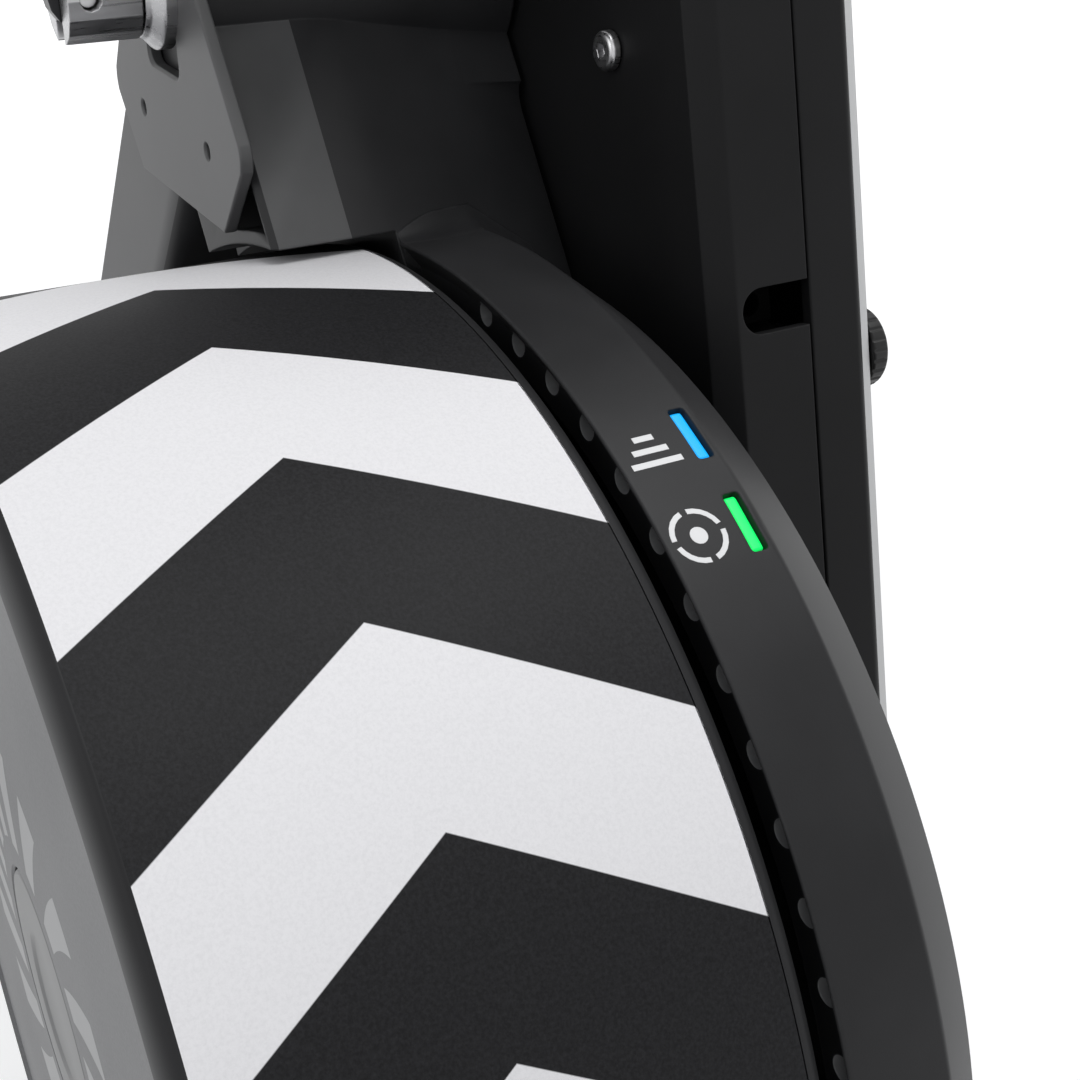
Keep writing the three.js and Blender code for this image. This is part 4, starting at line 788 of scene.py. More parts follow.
class Palette:
    """All the materials: one per slot, the drum's printed ones and the extra finishes, of which the
    strip's and the notches' are painted light.
    """

    rim: bpy.types.Material
    # strip holds a painted highlight and notch holds painted light in shade.
    strip: bpy.types.Material
    notch: bpy.types.Material
    deep: bpy.types.Material
    marks: bpy.types.Material

    def __init__(self) -> None:
        """Makes every material."""
        self.by_slot = {slot: Shader(f"{slot.value}_finish").finish(look)
                        for slot, look in FINISHES.items()}
        self.chevrons = self.make_chevrons()
        self.face = self.make_face()
        for name, (material, look) in EXTRA_FINISHES.items():
            setattr(self, name, Shader(material).finish(look))

    def make_chevrons(self) -> bpy.types.Material:
        """Plain black and white chevrons, laid out along the drum's UV map."""
        shader = Shader("drum_chevron_finish")
        uv = shader.node("ShaderNodeUVMap", uv_map="pattern")
        split = shader.node("ShaderNodeSeparateXYZ", {0: uv.outputs["UV"]})
        twice = shader.math("SUBTRACT", shader.math("MULTIPLY", split.outputs[1], 2.0), 1.0)
        across = shader.math("ABSOLUTE", twice)
        drop = PATTERN.drop / (360.0 / PATTERN.pairs)
        along = shader.math("SUBTRACT", split.outputs[0], shader.math("MULTIPLY", across, drop))
        wave = shader.math("SINE", shader.math("MULTIPLY", along, TURN))
        steep = shader.math("MULTIPLY", wave, PATTERN.sharpness)
        share = shader.math("ADD", steep, 0.5, clamp=True)
        speck = shader.noise(PATTERN.speck, 3.0, roughness=0.7)
        dark, light = (
            shader.mix(shader.ramp(speck, *specks), *(shader.tint(color, tint) for tint in tints))
            for color, specks, tints in (
                (PATTERN.dark, PATTERN.dark_specks, PATTERN.dark_tints),
                (PATTERN.light, PATTERN.light_specks, PATTERN.light_tints)))
        look = Finish(PATTERN.light, 0.5, 0.0, 0.35, 0.012, 0.1, 0.2, 0.0, 0.1)
        return shader.finish(look, shader.mix(share, light, dark))

    def make_face(self) -> bpy.types.Material:
        """Mid grey, with a plain ring of lighter wedges printed round the hub."""
        shader = Shader("drum_face_finish")
        offset = shader.node("ShaderNodeVectorMath",
                             {0: shader.coords.outputs["Object"], 1: Places.origin},
                             operation="SUBTRACT")
        split = shader.node("ShaderNodeSeparateXYZ", {0: offset.outputs[0]})
        square = shader.math("ADD", shader.math("POWER", split.outputs[0], 2.0),
                             shader.math("POWER", split.outputs[2], 2.0))
        radius = shader.math("MULTIPLY", shader.math("SQRT", square), 1 / MM)
        angle = shader.math("ARCTAN2", split.outputs[0], split.outputs[2])
        slant = shader.math("MULTIPLY", radius, PATTERN.wedge_slant)
        turns = shader.math("MULTIPLY", angle, PATTERN.wedges)
        wave = shader.math("SINE", shader.math("ADD", turns, slant))
        steep = shader.math("MULTIPLY", wave, PATTERN.wedge_sharpness)
        wedge = shader.math("ADD", steep, 0.5, clamp=True)
        inner, outer = PATTERN.wedge_inner, PATTERN.wedge_outer
        band = shader.math("MULTIPLY", shader.ramp(radius, inner, inner + PATTERN.wedge_edge),
                           shader.ramp(radius, outer, outer - PATTERN.wedge_edge))
        share = shader.math("MULTIPLY", wedge, band)
        speck = shader.noise(PATTERN.face_speck, 3.0, roughness=0.7)
        plain = shader.mix(shader.ramp(speck, *PATTERN.face_specks), (*PATTERN.plain_dark, 1.0),
                           (*PATTERN.plain_light, 1.0))
        color = shader.mix(share, plain, (*PATTERN.wedge, 1.0))
        look = Finish((0.19, 0.19, 0.19), 0.5, 0.0, 0.4, 0.01, 0.1, 0.2, 0.0, 0.25)
        return shader.finish(look, color)

    def dress_frame(self, nodes: dict[str, bpy.types.Object], record: dict) -> None:
        """Gives the CAD nodes their materials, by slot.

        Args:
            nodes: the frame's objects by name.
            record: the part's record.
        """
        slots = {part["node"]: part["material_slot"] for part in record["subparts"]}
        for name, obj in nodes.items():
            obj.data.materials.clear()
            obj.data.materials.append(self.by_slot[Slot(slots[name])])


class Workshop:
    """Turns meshes into pieces that ride the frame."""

    def __init__(self, palette: Palette) -> None:
        """Keeps the palette."""
        self.palette = palette

    def temporary(self, bm: Mesh) -> bpy.types.Object:
        """A cutting tool.

        Args:
            bm: the tool's mesh; it is used up.

        Returns:
            the object.
        """
        mesh = bpy.data.meshes.new("tool")
        bmesh.ops.recalc_face_normals(bm, faces=bm.faces)
        bm.to_mesh(mesh)
        bm.free()
        obj = bpy.data.objects.new("tool", mesh)
        bpy.context.collection.objects.link(obj)
        return obj

    def cut(self, bm: Mesh, *tools: Mesh) -> Mesh:
        """A mesh cut by tools, one after the other.

        Args:
            bm: the mesh; it is used up.
            tools: the tools; they are used up.

        Returns:
            the new mesh.
        """
        for tool in tools:
            bm = self.combined(bm, tool, "DIFFERENCE")
        return bm

    def union(self, bm: Mesh, *others: Mesh) -> Mesh:
        """A mesh joined with others, one after the other.

        Args:
            bm: the mesh; it is used up.
            others: the others; they are used up.

        Returns:
            the new mesh.
        """
        for other in others:
            bm = self.combined(bm, other, "UNION")
        return bm

    def combined(self, bm: Mesh, other: Mesh, operation: str) -> Mesh:
        """One mesh cut by, or joined with, another.

        Args:
            bm: the mesh to work on; it is used up.
            other: the tool; it is used up.
            operation: DIFFERENCE or UNION.

        Returns:
            the new mesh.
        """
        body = self.temporary(bm)
        tool = self.temporary(other)
        cut = body.modifiers.new("cut", "BOOLEAN")
        cut.operation = operation
        cut.solver = "EXACT"
        cut.object = tool
        depsgraph = bpy.context.evaluated_depsgraph_get()
        result = bmesh.new()
        result.from_object(body, depsgraph)
        for obj in (body, tool):
            mesh = obj.data
            bpy.data.objects.remove(obj)
            bpy.data.meshes.remove(mesh)
        return result

    def piece(self, name: str, bm: Mesh, body: Body, slot: Slot, replaces: Sequence[str] = (),
              materials: Sequence[bpy.types.Material] | None = None,
              pick: Callable[[Vector, Vector], int] | None = None,
              paint: Callable[[Mesh], None] | None = None,
              smooth: float = 32.0) -> bpy.types.Object:
        """Makes an object of a mesh and lets it ride its body.

        Args:
            name: the object's name.
            bm: the mesh in machine millimetres; it is used up.
            body: the CAD body it moves with.
            slot: the record's material slot.
            replaces: the CAD nodes it stands for.
            materials: materials other than the slot's own.
            pick: gives the material number of a face from its middle and normal.
            paint: adds a UV map.
            smooth: faces that meet at less than this many degrees are shaded as one.

        Returns:
            the object.
        """
        bmesh.ops.recalc_face_normals(bm, faces=bm.faces)
        for face in bm.faces:
            number = pick(face.calc_center_median(), face.normal) if pick is not None else 0
            face.material_index = number
        if paint is not None:
            paint(bm)
        limit = math.radians(smooth)
        for face in bm.faces:
            face.smooth = True
        for edge in bm.edges:
            edge.smooth = len(edge.link_faces) == 2 and edge.calc_face_angle(0.0) < limit
        bm.transform(Places.matrix())
        mesh = bpy.data.meshes.new(name)
        bm.to_mesh(mesh)
        bm.free()
        for material in materials or [self.palette.by_slot[slot]]:
            mesh.materials.append(material)
        obj = bpy.data.objects.new(name, mesh)
        bpy.context.collection.objects.link(obj)
        weighted = obj.modifiers.new("weighted", "WEIGHTED_NORMAL")
        weighted.keep_sharp = True
        LOG.info("%s: %d faces", name, len(mesh.polygons))
        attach(obj, body.value)
        if replaces:
            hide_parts(*replaces)
        return obj


class Assembly:
    """A sub-assembly, which makes its pieces in a workshop."""

    def __init__(self, shop: Workshop) -> None:
        """Keeps the workshop."""
        self.shop = shop


def around(radius: float, angle: float) -> Pair:
    """Returns: (x, z) on a circle about the flywheel's axis, angle back from the top."""
    return -radius * math.sin(angle), radius * math.cos(angle)


@dataclass(frozen=True)
class DrumSizes:
    """The drum, in millimetres."""

    inner: float = 108.0
    right: float = -39.0
    back_round: float = 3.0
    edge_round: float = 6.5
    edge_side: float = 2.4
    face: float = 36.5
    web: float = 8.0
    hub: float = 22.0
    hub_length: float = 9.0
    cap: float = 25.0
    cap_thick: float = 2.7
    cap_edge: float = 0.9
    dish: float = 13.0
    printed: float = 113.0
    shaft: float = 8.8


class Flywheel(Assembly):
    """The drum with its printed pattern, and its hub cap."""

    sizes = DrumSizes()

    def profile(self) -> list[Pair]:
        """The drum's closed profile."""
        s = self.sizes
        outer = SIZES.drum_radius
        left = SIZES.drum_left
        web = s.face - s.web
        hub = web - s.hub_length
        points: list[Pair] = [
            (s.shaft, hub), (s.hub - 1, hub), (s.hub, hub + 1), (s.hub, web), (s.inner - 3, web),
            (s.inner, web - 3), (s.inner, s.right + 0.6), (s.inner + 0.6, s.right)]
        for i in range(9):
            t = QUARTER * i / 8
            points.append((outer - s.back_round + s.back_round * math.sin(t),
                           s.right + s.back_round * (1 - math.cos(t))))
        points.append((outer, PATTERN.right))
        points.append((outer, left - s.edge_side - 0.001))
        for i in range(1, 13):
            t = QUARTER * i / 12
            points.append((outer - s.edge_round * (1 - math.cos(t)),
                           left - s.edge_side * (1 - math.sin(t))))
        rim = outer - s.edge_round
        floor = s.face - s.cap_thick - 0.3
        points += [(rim - 0.5, left), (rim - 0.9, left - 0.5), (rim - 1.2, s.face),
                   (s.cap + 0.9, s.face), (s.cap + 0.4, s.face - 0.5), (s.cap + 0.4, floor),
                   (s.shaft, floor)]
        return points

    def build(self) -> None:
        """Makes the drum and the cap."""
        palette = self.shop.palette
        s = self.sizes

        def pick(middle: Vector, _normal: Vector) -> int:
            """Picks the drum's faces.

            Args:
                middle: the face's middle.
                _normal: not used here.

            Returns:
                the material's number.
            """
            radius = math.hypot(middle.x, middle.z)
            if radius > SIZES.drum_radius - 0.2 and PATTERN.right < middle.y < PATTERN.left:
                return 0
            if middle.y > s.face - 1.2 and radius < s.printed:
                return 1
            return 2

        def paint(bm: Mesh) -> None:
            """Adds the UV map.

            Args:
                bm: the mesh.
            """
            layer = bm.loops.layers.uv.new("pattern")
            width = PATTERN.left - PATTERN.right
            for face in bm.faces:
                middle = face.calc_center_median()
                home = math.atan2(-middle.x, middle.z)
                for corner in face.loops:
                    co = corner.vert.co
                    angle = math.atan2(-co.x, co.z)
                    angle += TURN * round((home - angle) / (TURN))
                    turns = (math.degrees(angle) - PATTERN.start) / 360.0
                    across = 0.5 + (co.y - PATTERN.middle) / width
                    corner[layer].uv = (turns * PATTERN.pairs, across)

        self.shop.piece("flywheel_drum_visual", Mesher.turned(self.profile(), 240), Body.FLYWHEEL,
                        Slot.DRUM, ["flywheel_drum"], [palette.chevrons, palette.face, palette.rim],
                        pick, paint, 40.0)
        low = s.face - s.cap_thick
        cap = [(0.0, low), (s.cap, low), (s.cap, s.face - s.cap_edge)]
        cap += Outlines.rounding(s.cap, s.face, s.cap_edge)
        cap += [(s.dish + 1.0, s.face), (s.dish, s.face - 0.5), (0.0, s.face - 0.5)]
        self.shop.piece("hub_cap_visual", Mesher.turned(cap, 96, False), Body.FLYWHEEL, Slot.CAP,
                        ["hub_cap"])


@dataclass(frozen=True)
class FrameSizes:
    """The main casting, in millimetres and degrees."""

    ring: float = 120.7
    ring_left: float = -41.6
    band: float = -56.9
    back: float = -67.7
    chamfer: float = 112.4
    inner: float = 111.0
    lip: float = 4.2
    lip_drop: float = 2.6
    floor: float = -60.0
    barrel: float = 22.0
    bearing: float = 17.3
    left_bearing: float = 17.5
    left_stop: float = 5.5
    right_stop: float = -55.4
    column_lean: float = 35.5
    column_x: float = 17.2
    column_z: float = 122.2
    column_thick: float = 34.0
    column_strip: float = 13.5
    facet_slope: float = 0.16
    facet_round: float = 9.0
    scoop_start: float = 25.0
    scoop_depth: float = 2.8
    column_edge: float = 1.0
    column_up: float = 52.0
    column_down: float = 60.0
    sweep_top: float = 24.0
    sweep_run: float = 5.0
    fillet: float = 7.0
    fillet_end: float = 2.6
    fillet_run: float = 9.0
    fillet_root: float = 0.86
    hollow_wall: float = 1.6
    hollow_far: float = 16.0
    hollow_top: float = 14.5
    hollow_rim: float = 2.3
    hollow_depth: float = 16.0
    hollow_foot: float = -6.0
    web_back: float = 26.0
    web_tip: float = -45.0
    web_side: float = 8.0
    upper_edge: float = 0.5
    apex: float = 18.0
    drum_gap: float = 2.4
    strut_lean: float = 41.1
    strut_near: float = 126.0
    strut_far: float = 157.6
    pin: float = 1.35
    pin_low: float = -29.2
    pin_side: float = 17.9
    pin_z: float = 132.5
    bolt: float = 4.3
    bolt_depth: float = 12.0
    bar_x: float = -165.0
    leg_foot: float = -155.7
    leg_half: float = 17.0
    leg_side: float = 1.5
    leg_edge: float = 1.6
    leg_bend: float = 30.0
    leg_rear_top: Pair = (-112.4, -39.8)
    leg_rear_bend: float = -70.0
    leg_front_top: Pair = (-18.0, -117.8)
    leg_front_drop: float = 15.0
    boss: float = 17.0
    boss_edge: float = 0.4
    shaft_boss: float = 32.0
    shaft_boss_edge: float = 0.6
    strut_round: float = 6.0
    pockets: int = 4
    pocket_start: float = 100.0
    pocket_pitch: float = 53.0
    pocket_size: Triple = (19.6, 20.0, 44.0)
    pocket_sink: float = 8.0
    pocket_round: float = 2.5
    strut_extra: float = 60.0
    below: Triple = (400.0, 400.0, 200.0)
    lens_y: float = -54.6
    blue: float = 25.1
    green: float = 32.5
    lens_width: float = 2.1
    lens_height: float = 8.8
    lens_sink: float = 0.6
    lens_gap: float = 0.6
    lens_edge: float = 0.5
    notch_at: float = 115.6
    notch_depth: float = 9.0
    notches: int = 22
    notch_pitch: float = 5.2
    notch_start: float = 5.0
    notch_radius: float = 2.0

    @property
    def whole(self) -> float:
        """The drum's radius with the gap round it."""
        return SIZES.drum_radius + self.drum_gap

    @property
    def curve(self) -> float:
        """Where the column's flat strip ends, along Y."""
        return SIZES.frame_left - self.column_strip

    @property
    def back_way(self) -> Pair:
        """The direction that the column's strip faces, as (x, z)."""
        lean = math.radians(self.column_lean)
        return -math.cos(lean), math.sin(lean)


FRAME = FrameSizes()


class Strut:
    """Directions and points of the front leg."""

    axis = (math.sin(math.radians(FRAME.strut_lean)), -math.cos(math.radians(FRAME.strut_lean)))
    normal = (math.cos(math.radians(FRAME.strut_lean)), math.sin(math.radians(FRAME.strut_lean)))
    middle = (FRAME.strut_near + FRAME.strut_far) / 2
    top = axis[0] * SIZES.axle_x + axis[1] * SIZES.axle_z
    foot = (middle * normal[1] - FRAME.leg_foot) / -axis[1]
    bar_x = (middle - normal[1] * FRAME.leg_foot) / normal[0]

    @classmethod
    def point(cls, along: float, offset: float = 0.0) -> Pair:
        """A place beside the leg's middle line.

        Args:
            along: the distance along the leg.
            offset: the distance off its middle.

        Returns:
            (x, z).
        """
        away = cls.middle + offset
        return (cls.normal[0] * away + cls.axis[0] * along,
                cls.normal[1] * away + cls.axis[1] * along)


# The middles of the ring and of the column and front leg, along Y.
RING_Y = (FRAME.back + FRAME.ring_left) / 2
LEG_Y = (SIZES.frame_left + SIZES.frame_right) / 2
# The foot bars' bolts, as (x, y), and the bars' own places along X.
BOLTS: dict[str, tuple[Pair, ...]] = {
    "rear": tuple((FRAME.bar_x + away, RING_Y) for away in (-9.0, 9.0)),
    "front": tuple((Strut.bar_x, LEG_Y + away) for away in (-13.0, 13.0)),
}
BAR_X = {"rear": FRAME.bar_x, "front": Strut.bar_x}


class Casting(Assembly):
    """The cast main frame with brake ring, column, apex and rear leg, and the front leg."""

    housing = (FRAME.inner, FRAME.floor, FRAME.ring_left + PAST)

    def ring(self) -> Mesh:
        """The brake ring, with its notches and window pockets."""
        f = FRAME
        top = f.ring_left - f.lip_drop
        sleeve = f.bearing - 2.3
        profile: list[Pair] = [
            (f.bearing, f.back), (f.chamfer - 0.8, f.back), (f.chamfer, f.back + 0.35),
            (f.ring - 0.35, f.band - 0.45), (f.ring, f.band + 0.4), (f.ring, f.ring_left - 0.5),
            (f.ring - 0.15, f.ring_left - 0.15), (f.ring - 0.5, f.ring_left),
            (f.ring - f.lip, top), (f.inner + 0.4, top), (f.inner, top - 0.4),
            (f.inner, f.floor + 2), (f.inner - 2, f.floor), (f.barrel + 2, f.floor),
            (f.barrel, f.floor + 2), (f.barrel, f.left_bearing - 0.5),
            (f.barrel - 0.8, f.left_bearing + 0.3), (f.bearing + 0.5, f.left_bearing + 0.3),
            (f.bearing, f.left_bearing - 0.2), (f.bearing, f.left_stop - 0.3),
            (sleeve, f.left_stop - 0.3), (sleeve, f.right_stop + 0.3),
            (f.bearing, f.right_stop + 0.3)]
        body = Mesher.turned(profile, 240)
        notches = [Mesher.rod(f.notch_radius, top - 5, top + 3, centre, 20)
                   for centre in self.notch_centres()]
        body = self.shop.cut(body, Mesher.joined(notches))
        for degrees in (f.blue, f.green):
            angle = math.radians(degrees)
            x, z = around((f.inner + f.ring) / 2, angle)
            size = (f.lens_height + f.lens_gap, f.lens_width + f.lens_gap,
                    f.ring - f.inner + 2 * PAST)
            body = self.shop.cut(body, Mesher.box(size, (x, f.lens_y, z), -angle, f.lens_gap))
        return body

    def notch_centres(self) -> list[Pair]:
        """The middles of the round notches in the ring's lip."""
        f = FRAME
        return [around(f.notch_at, math.radians(f.notch_start + i * f.notch_pitch))
                for i in range(f.notches)]

    def column_point(self, forward: float, along: float) -> Pair:
        """Returns: (x, z) ahead of the column's rear face and up along it."""
        x, z = FRAME.back_way
        return FRAME.column_x - forward * x + along * z, FRAME.column_z - forward * z - along * x

    def facet(self, depth: float) -> float:
        """The rear face's flat facet, beyond its strip.

        Args:
            depth: the distance beyond the strip.

        Returns:
            how far the rear face lies ahead of its strip.
        """
        f = FRAME
        if depth <= 0:
            return 0.0
        if depth < f.facet_round:
            return f.facet_slope * depth * depth / (2 * f.facet_round)
        return f.facet_slope * (depth - f.facet_round / 2)

    def scoop(self, depth: float) -> float:
        """The scoop beside the case, beyond the strip.

        Args:
            depth: the distance beyond the strip.

        Returns:
            how deep the scoop is.
        """
        f = FRAME
        run = f.curve - SIZES.frame_right - f.scoop_start
        return f.scoop_depth * (max(0.0, depth - f.scoop_start) / run) ** 2

    def column_section(self, along: float, scoop: float, steps: int = 28) -> list[Vector]:
        """One section of the column.

        Args:
            along: its place up the column.
            scoop: share of the scoop beside the case that is cut here.
            steps: spans of the rear face.

        Returns:
            the section's points.
        """
        f = FRAME
        left = SIZES.frame_left
        right = SIZES.frame_right
        flat: list[Pair] = [(0.0, left - f.column_edge), (f.column_edge, left),
                            (f.column_thick, left), (f.column_thick, right)]
        for i in range(steps + 1):
            y = right + (f.curve - right) * i / steps
            depth = f.curve - y
            flat.append((self.facet(depth) + scoop * self.scoop(depth), y))
        points = []
        for forward, y in flat:
            x, z = self.column_point(forward, along)
            points.append(Vector((x, y, z)))
        return points

    def column(self) -> Mesh:
        """The rear column, with the scoop beside the case run out below the apex."""
        f = FRAME
        rings = [self.column_section(-f.column_down, 1.0)]
        for i in range(13):
            turn = QUARTER * i / 12
            along = f.sweep_top - f.sweep_run * (1 - math.sin(turn))
            rings.append(self.column_section(along, math.cos(turn)))
        rings.append(self.column_section(f.column_up, 0.0))
        return Mesher.loft(rings)

    def keep_out(self, radius: float, low: float, high: float) -> Mesh:
        """A round tool about the flywheel's axis."""
        return Mesher.rod(radius, low, high, steps=240)

    def fillet_section(self, y: float) -> list[Vector]:
        """One section of the hollow curve between the ring and the column.

        Args:
            y: where the section lies.

        Returns:
            its corners.
        """
        f = FRAME
        back = f.back_way
        depth = f.curve - y
        face = back[0] * f.column_x + back[1] * f.column_z - self.facet(depth) - self.scoop(depth)
        radius = f.ring
        if y < f.band:
            radius -= (f.band - y) / (f.band - f.back) * (f.ring - f.chamfer)
        share = math.sin(QUARTER * min(1.0, (f.ring_left - y) / f.fillet_run))
        fillet = f.fillet_end + (f.fillet - f.fillet_end) * share
        reach = radius + fillet
        tilt = QUARTER - math.radians(f.column_lean) - math.acos((face + fillet) / reach)
        cx, cz = around(reach, tilt)
        rx, rz = around(radius, tilt)
        px, pz = cx - back[0] * fillet, cz - back[1] * fillet
        flat: list[Pair] = [(rx * f.fillet_root, rz * f.fillet_root)]
        flat += Outlines.arc(cx, cz, fillet, math.atan2(rz - cz, rx - cx),
                             math.atan2(pz - cz, px - cx), 24)
        flat.append((px * f.fillet_root, pz * f.fillet_root))
        return [Vector((x, y, z)) for x, z in flat]

    def fillet(self) -> Mesh:
        """The hollow curve by which the ring runs up into the column."""
        low, high = FRAME.back, FRAME.ring_left - 0.2
        return Mesher.loft([self.fillet_section(high + (low - high) * i / 24) for i in range(25)])

    def hollow(self) -> Mesh:
        """The tool of the hollow that opens to the left at the column's foot."""
        f = FRAME
        corners = ((f.hollow_wall, f.hollow_foot), (f.hollow_wall, f.hollow_top),
                   (f.hollow_far, f.hollow_top), (f.hollow_far, f.hollow_foot))
        points = [self.column_point(*corner) for corner in corners]
        low, high = SIZES.frame_left - f.hollow_depth, SIZES.frame_left + PAST
        tool = Mesher.slab(points, low, high)
        rim = f.whole + f.hollow_rim
        return self.shop.cut(tool, self.keep_out(rim, low - PAST, high + PAST))

    def web(self) -> Mesh:
        """The web between the column and the apex."""
        tip = Strut.point(FRAME.web_tip, FRAME.strut_near - Strut.middle)
        start = math.atan2(tip[1], tip[0])
        first = self.column_point(FRAME.web_back, 0.0)
        end = math.atan2(first[1], first[0])
        points = [first, SIZES.axle, tip]
        points += Outlines.arc(0, 0, FRAME.inner + 0.3, start, end, 24)
        return Mesher.slab(points, SIZES.frame_right, SIZES.frame_left - FRAME.web_side)

    def rear_leg(self) -> Mesh:
        """The curved leg under the ring."""
        f = FRAME
        heel = (f.bar_x - f.leg_half, f.leg_foot)
        toe = (f.bar_x + f.leg_half, f.leg_foot)
        points = [f.leg_rear_top]
        points += Outlines.curve(points[0], (heel[0] + f.leg_bend, f.leg_rear_bend), heel, 24)
        points += [toe]
        bend = (toe[0] + f.leg_bend, f.leg_front_top[1] - f.leg_front_drop)
        points += Outlines.curve(toe, bend, f.leg_front_top, 24)
        return Mesher.slab(points, f.back + f.leg_side, f.ring_left - f.leg_side - f.lip_drop,
                           f.leg_edge)

    def pin_hole(self, side: int) -> Mesh:
        """The tool of a plate pin's hole, -1 for the rear one and 1 for the front one."""
        f = FRAME
        return Mesher.rod(f.pin, f.pin_low, 0, (SIZES.axle_x + side * f.pin_side, f.pin_z), 24)

    def bolt_holes(self, end: str) -> list[Mesh]:
        """The tools of the holes in a leg's foot.

        Args:
            end: the foot's place.

        Returns:
            the tools.
        """
        f = FRAME
        return [Mesher.upright(f.bolt, f.leg_foot - PAST, f.leg_foot + f.bolt_depth, x, y)
                for x, y in BOLTS[end]]

    def boss(self, inner: float, outer: float, edge: float, top: float, steps: int,
             centre: Pair = (0.0, 0.0)) -> Mesh:
        """A round boss that stands out to the belt case, its end's edge cut off.

        Args:
            inner: its inner radius.
            outer: its outer radius.
            edge: the cut-off edge's size.
            top: where it ends along Y.
            steps: parts of its turn.
            centre: its middle.

        Returns:
            the mesh.
        """
        low = SIZES.case_left + SIZES.seat
        profile = [(inner, low), (outer - edge, low), (outer, low + edge), (outer, top),
                   (inner, top)]
        return Mesher.turned(profile, steps, True, centre)

    def upper(self) -> Mesh:
        """Column, apex and web in one, cut round the drum and the housing."""
        f = FRAME
        shop = self.shop
        around_drum = (f.whole, f.ring_left, SIZES.drum_left)
        column = shop.cut(self.column(), self.keep_out(*around_drum), self.hollow(),
                          self.pin_hole(-1))
        disc = Mesher.rod(f.apex, SIZES.frame_right, SIZES.frame_left, SIZES.axle, 96)
        web = shop.cut(self.web(), self.keep_out(*around_drum),
                       self.leg_solid(SIZES.seat, PAST, False))
        bore = Mesher.rod(SIZES.axle_hole, -90, 0, SIZES.axle, 48)
        upper = shop.cut(shop.union(column, disc, web), self.keep_out(*self.housing), bore)
        Mesher.soften(upper, f.upper_edge, 2, 40.0)
        return upper

    def build(self) -> None:
        """Makes the casting's pieces and the front leg."""
        f = FRAME
        shop = self.shop
        cast = shop.palette.by_slot[Slot.CAST]
        back = Vector((f.back_way[0], 0.0, f.back_way[1]))
        centres = self.notch_centres()

        def pick_strip_highlight(middle: Vector, normal: Vector) -> int:
            """Returns: 1 for a face of the strip, which gets the painted highlight, else 0."""
            return 1 if middle.y > f.curve and normal.dot(back) > 0.99 else 0

        def pick_notch_light(middle: Vector, normal: Vector) -> int:
            """Picks the faces in the notches, which get a light grey as painted light.

            Args:
                middle: the face's middle.
                normal: the face's normal.

            Returns:
                whether it lies in a notch, as 0 or 1.
            """
            if abs(normal.y) > 0.4 or not f.ring_left - f.notch_depth < middle.y < f.ring_left:
                return 0
            near = min(math.hypot(middle.x - x, middle.z - z) for x, z in centres)
            return 1 if near < f.notch_radius + 0.05 else 0

        # The strip's faces get the lighter copy of the cast colour, a painted highlight.
        shop.piece("frame_column_visual", self.upper(), Body.FRAME, Slot.CAST, ["main_frame"],
                   [cast, shop.palette.strip], pick_strip_highlight)
        fillet = shop.cut(self.fillet(), self.keep_out(*self.housing))
        shop.piece("frame_fillet_visual", fillet, Body.FRAME, Slot.CAST)
        # The notches' faces get a light grey, painted light in the lip's shade.
        shop.piece("brake_ring_visual", self.ring(), Body.FRAME, Slot.CAST, (),
                   [cast, shop.palette.notch], pick_notch_light)
        leg = shop.cut(self.rear_leg(), self.keep_out(*self.housing), *self.bolt_holes("rear"))
        shop.piece("rear_leg_visual", leg, Body.FRAME, Slot.CAST)
        bosses = [self.boss(SIZES.axle_hole, f.boss, f.boss_edge, f.back, 72, SIZES.axle),
                  self.boss(f.bearing, f.shaft_boss, f.shaft_boss_edge, f.back + 2, 96)]
        shop.piece("case_bosses_visual", Mesher.joined(bosses), Body.FRAME, Slot.CAST)
        self.front_leg()

    def leg_solid(self, grow: float, side: float, rounded: bool) -> Mesh:
        """The front leg's section along its axis.

        Args:
            grow: makes the section thicker to the front and the rear.
            side: makes it wider to both sides.
            rounded: rounds the front left edge and cuts off the other edges.

        Returns:
            the mesh.
        """
        edge = FRAME.strut_round
        half = (FRAME.strut_far - FRAME.strut_near) / 2 + grow
        left = SIZES.frame_left + side
        right = SIZES.frame_right - side
        if rounded:
            points: list[Pair] = [(-half, left - 1), (-half + 1, left), (half - edge, left)]
            points += Outlines.curve(points[-1], (half, left), (half, left - edge))
            points += [(half, right + 1), (half - 1, right), (-half + 1, right), (-half, right + 1)]
        else:
            points = [(-half, left), (half, left), (half, right), (-half, right)]
        tilt = math.pi - math.radians(FRAME.strut_lean)
        length = Strut.foot - Strut.top + FRAME.strut_extra
        return Mesher.leaning(points, 0.0, length, tilt, Strut.point(Strut.top))

    def front_leg(self) -> None:
        """The front leg with its pockets, its left side faces given the strip's lighter colour as a
        painted highlight.
        """
        f = FRAME
        shop = self.shop
        floor = Mesher.box(f.below, (Strut.bar_x, -60, f.leg_foot - f.below[2] / 2))
        disc = Mesher.rod(f.apex + SIZES.seat, SIZES.frame_right - PAST, SIZES.frame_left + PAST,
                          SIZES.axle, 96)
        thick = f.column_thick + SIZES.seat
        column = Mesher.leaning([(0, -10), (thick, -10), (thick, -90), (0, -90)], -f.column_down,
                                f.column_up, math.radians(f.column_lean), (f.column_x, f.column_z))
        tools = [floor, disc, column]
        for i in range(f.pockets):
            x, z = Strut.point(f.pocket_start + i * f.pocket_pitch)
            tools.append(Mesher.box(f.pocket_size, (x, SIZES.frame_right + f.pocket_sink, z),
                                    -math.radians(f.strut_lean), f.pocket_round))
        tools += [*self.bolt_holes("front"), self.pin_hole(1)]
        leg = shop.cut(self.leg_solid(0.0, 0.0, True), *tools)
        # The leg's left side faces get the strip's lighter colour, a painted highlight.
        shop.piece("front_leg_visual", leg, Body.FRAME, Slot.CAST, ["front_leg"],
                   [shop.palette.by_slot[Slot.CAST], shop.palette.strip],
                   lambda middle, normal: int(normal.y > 0.9))


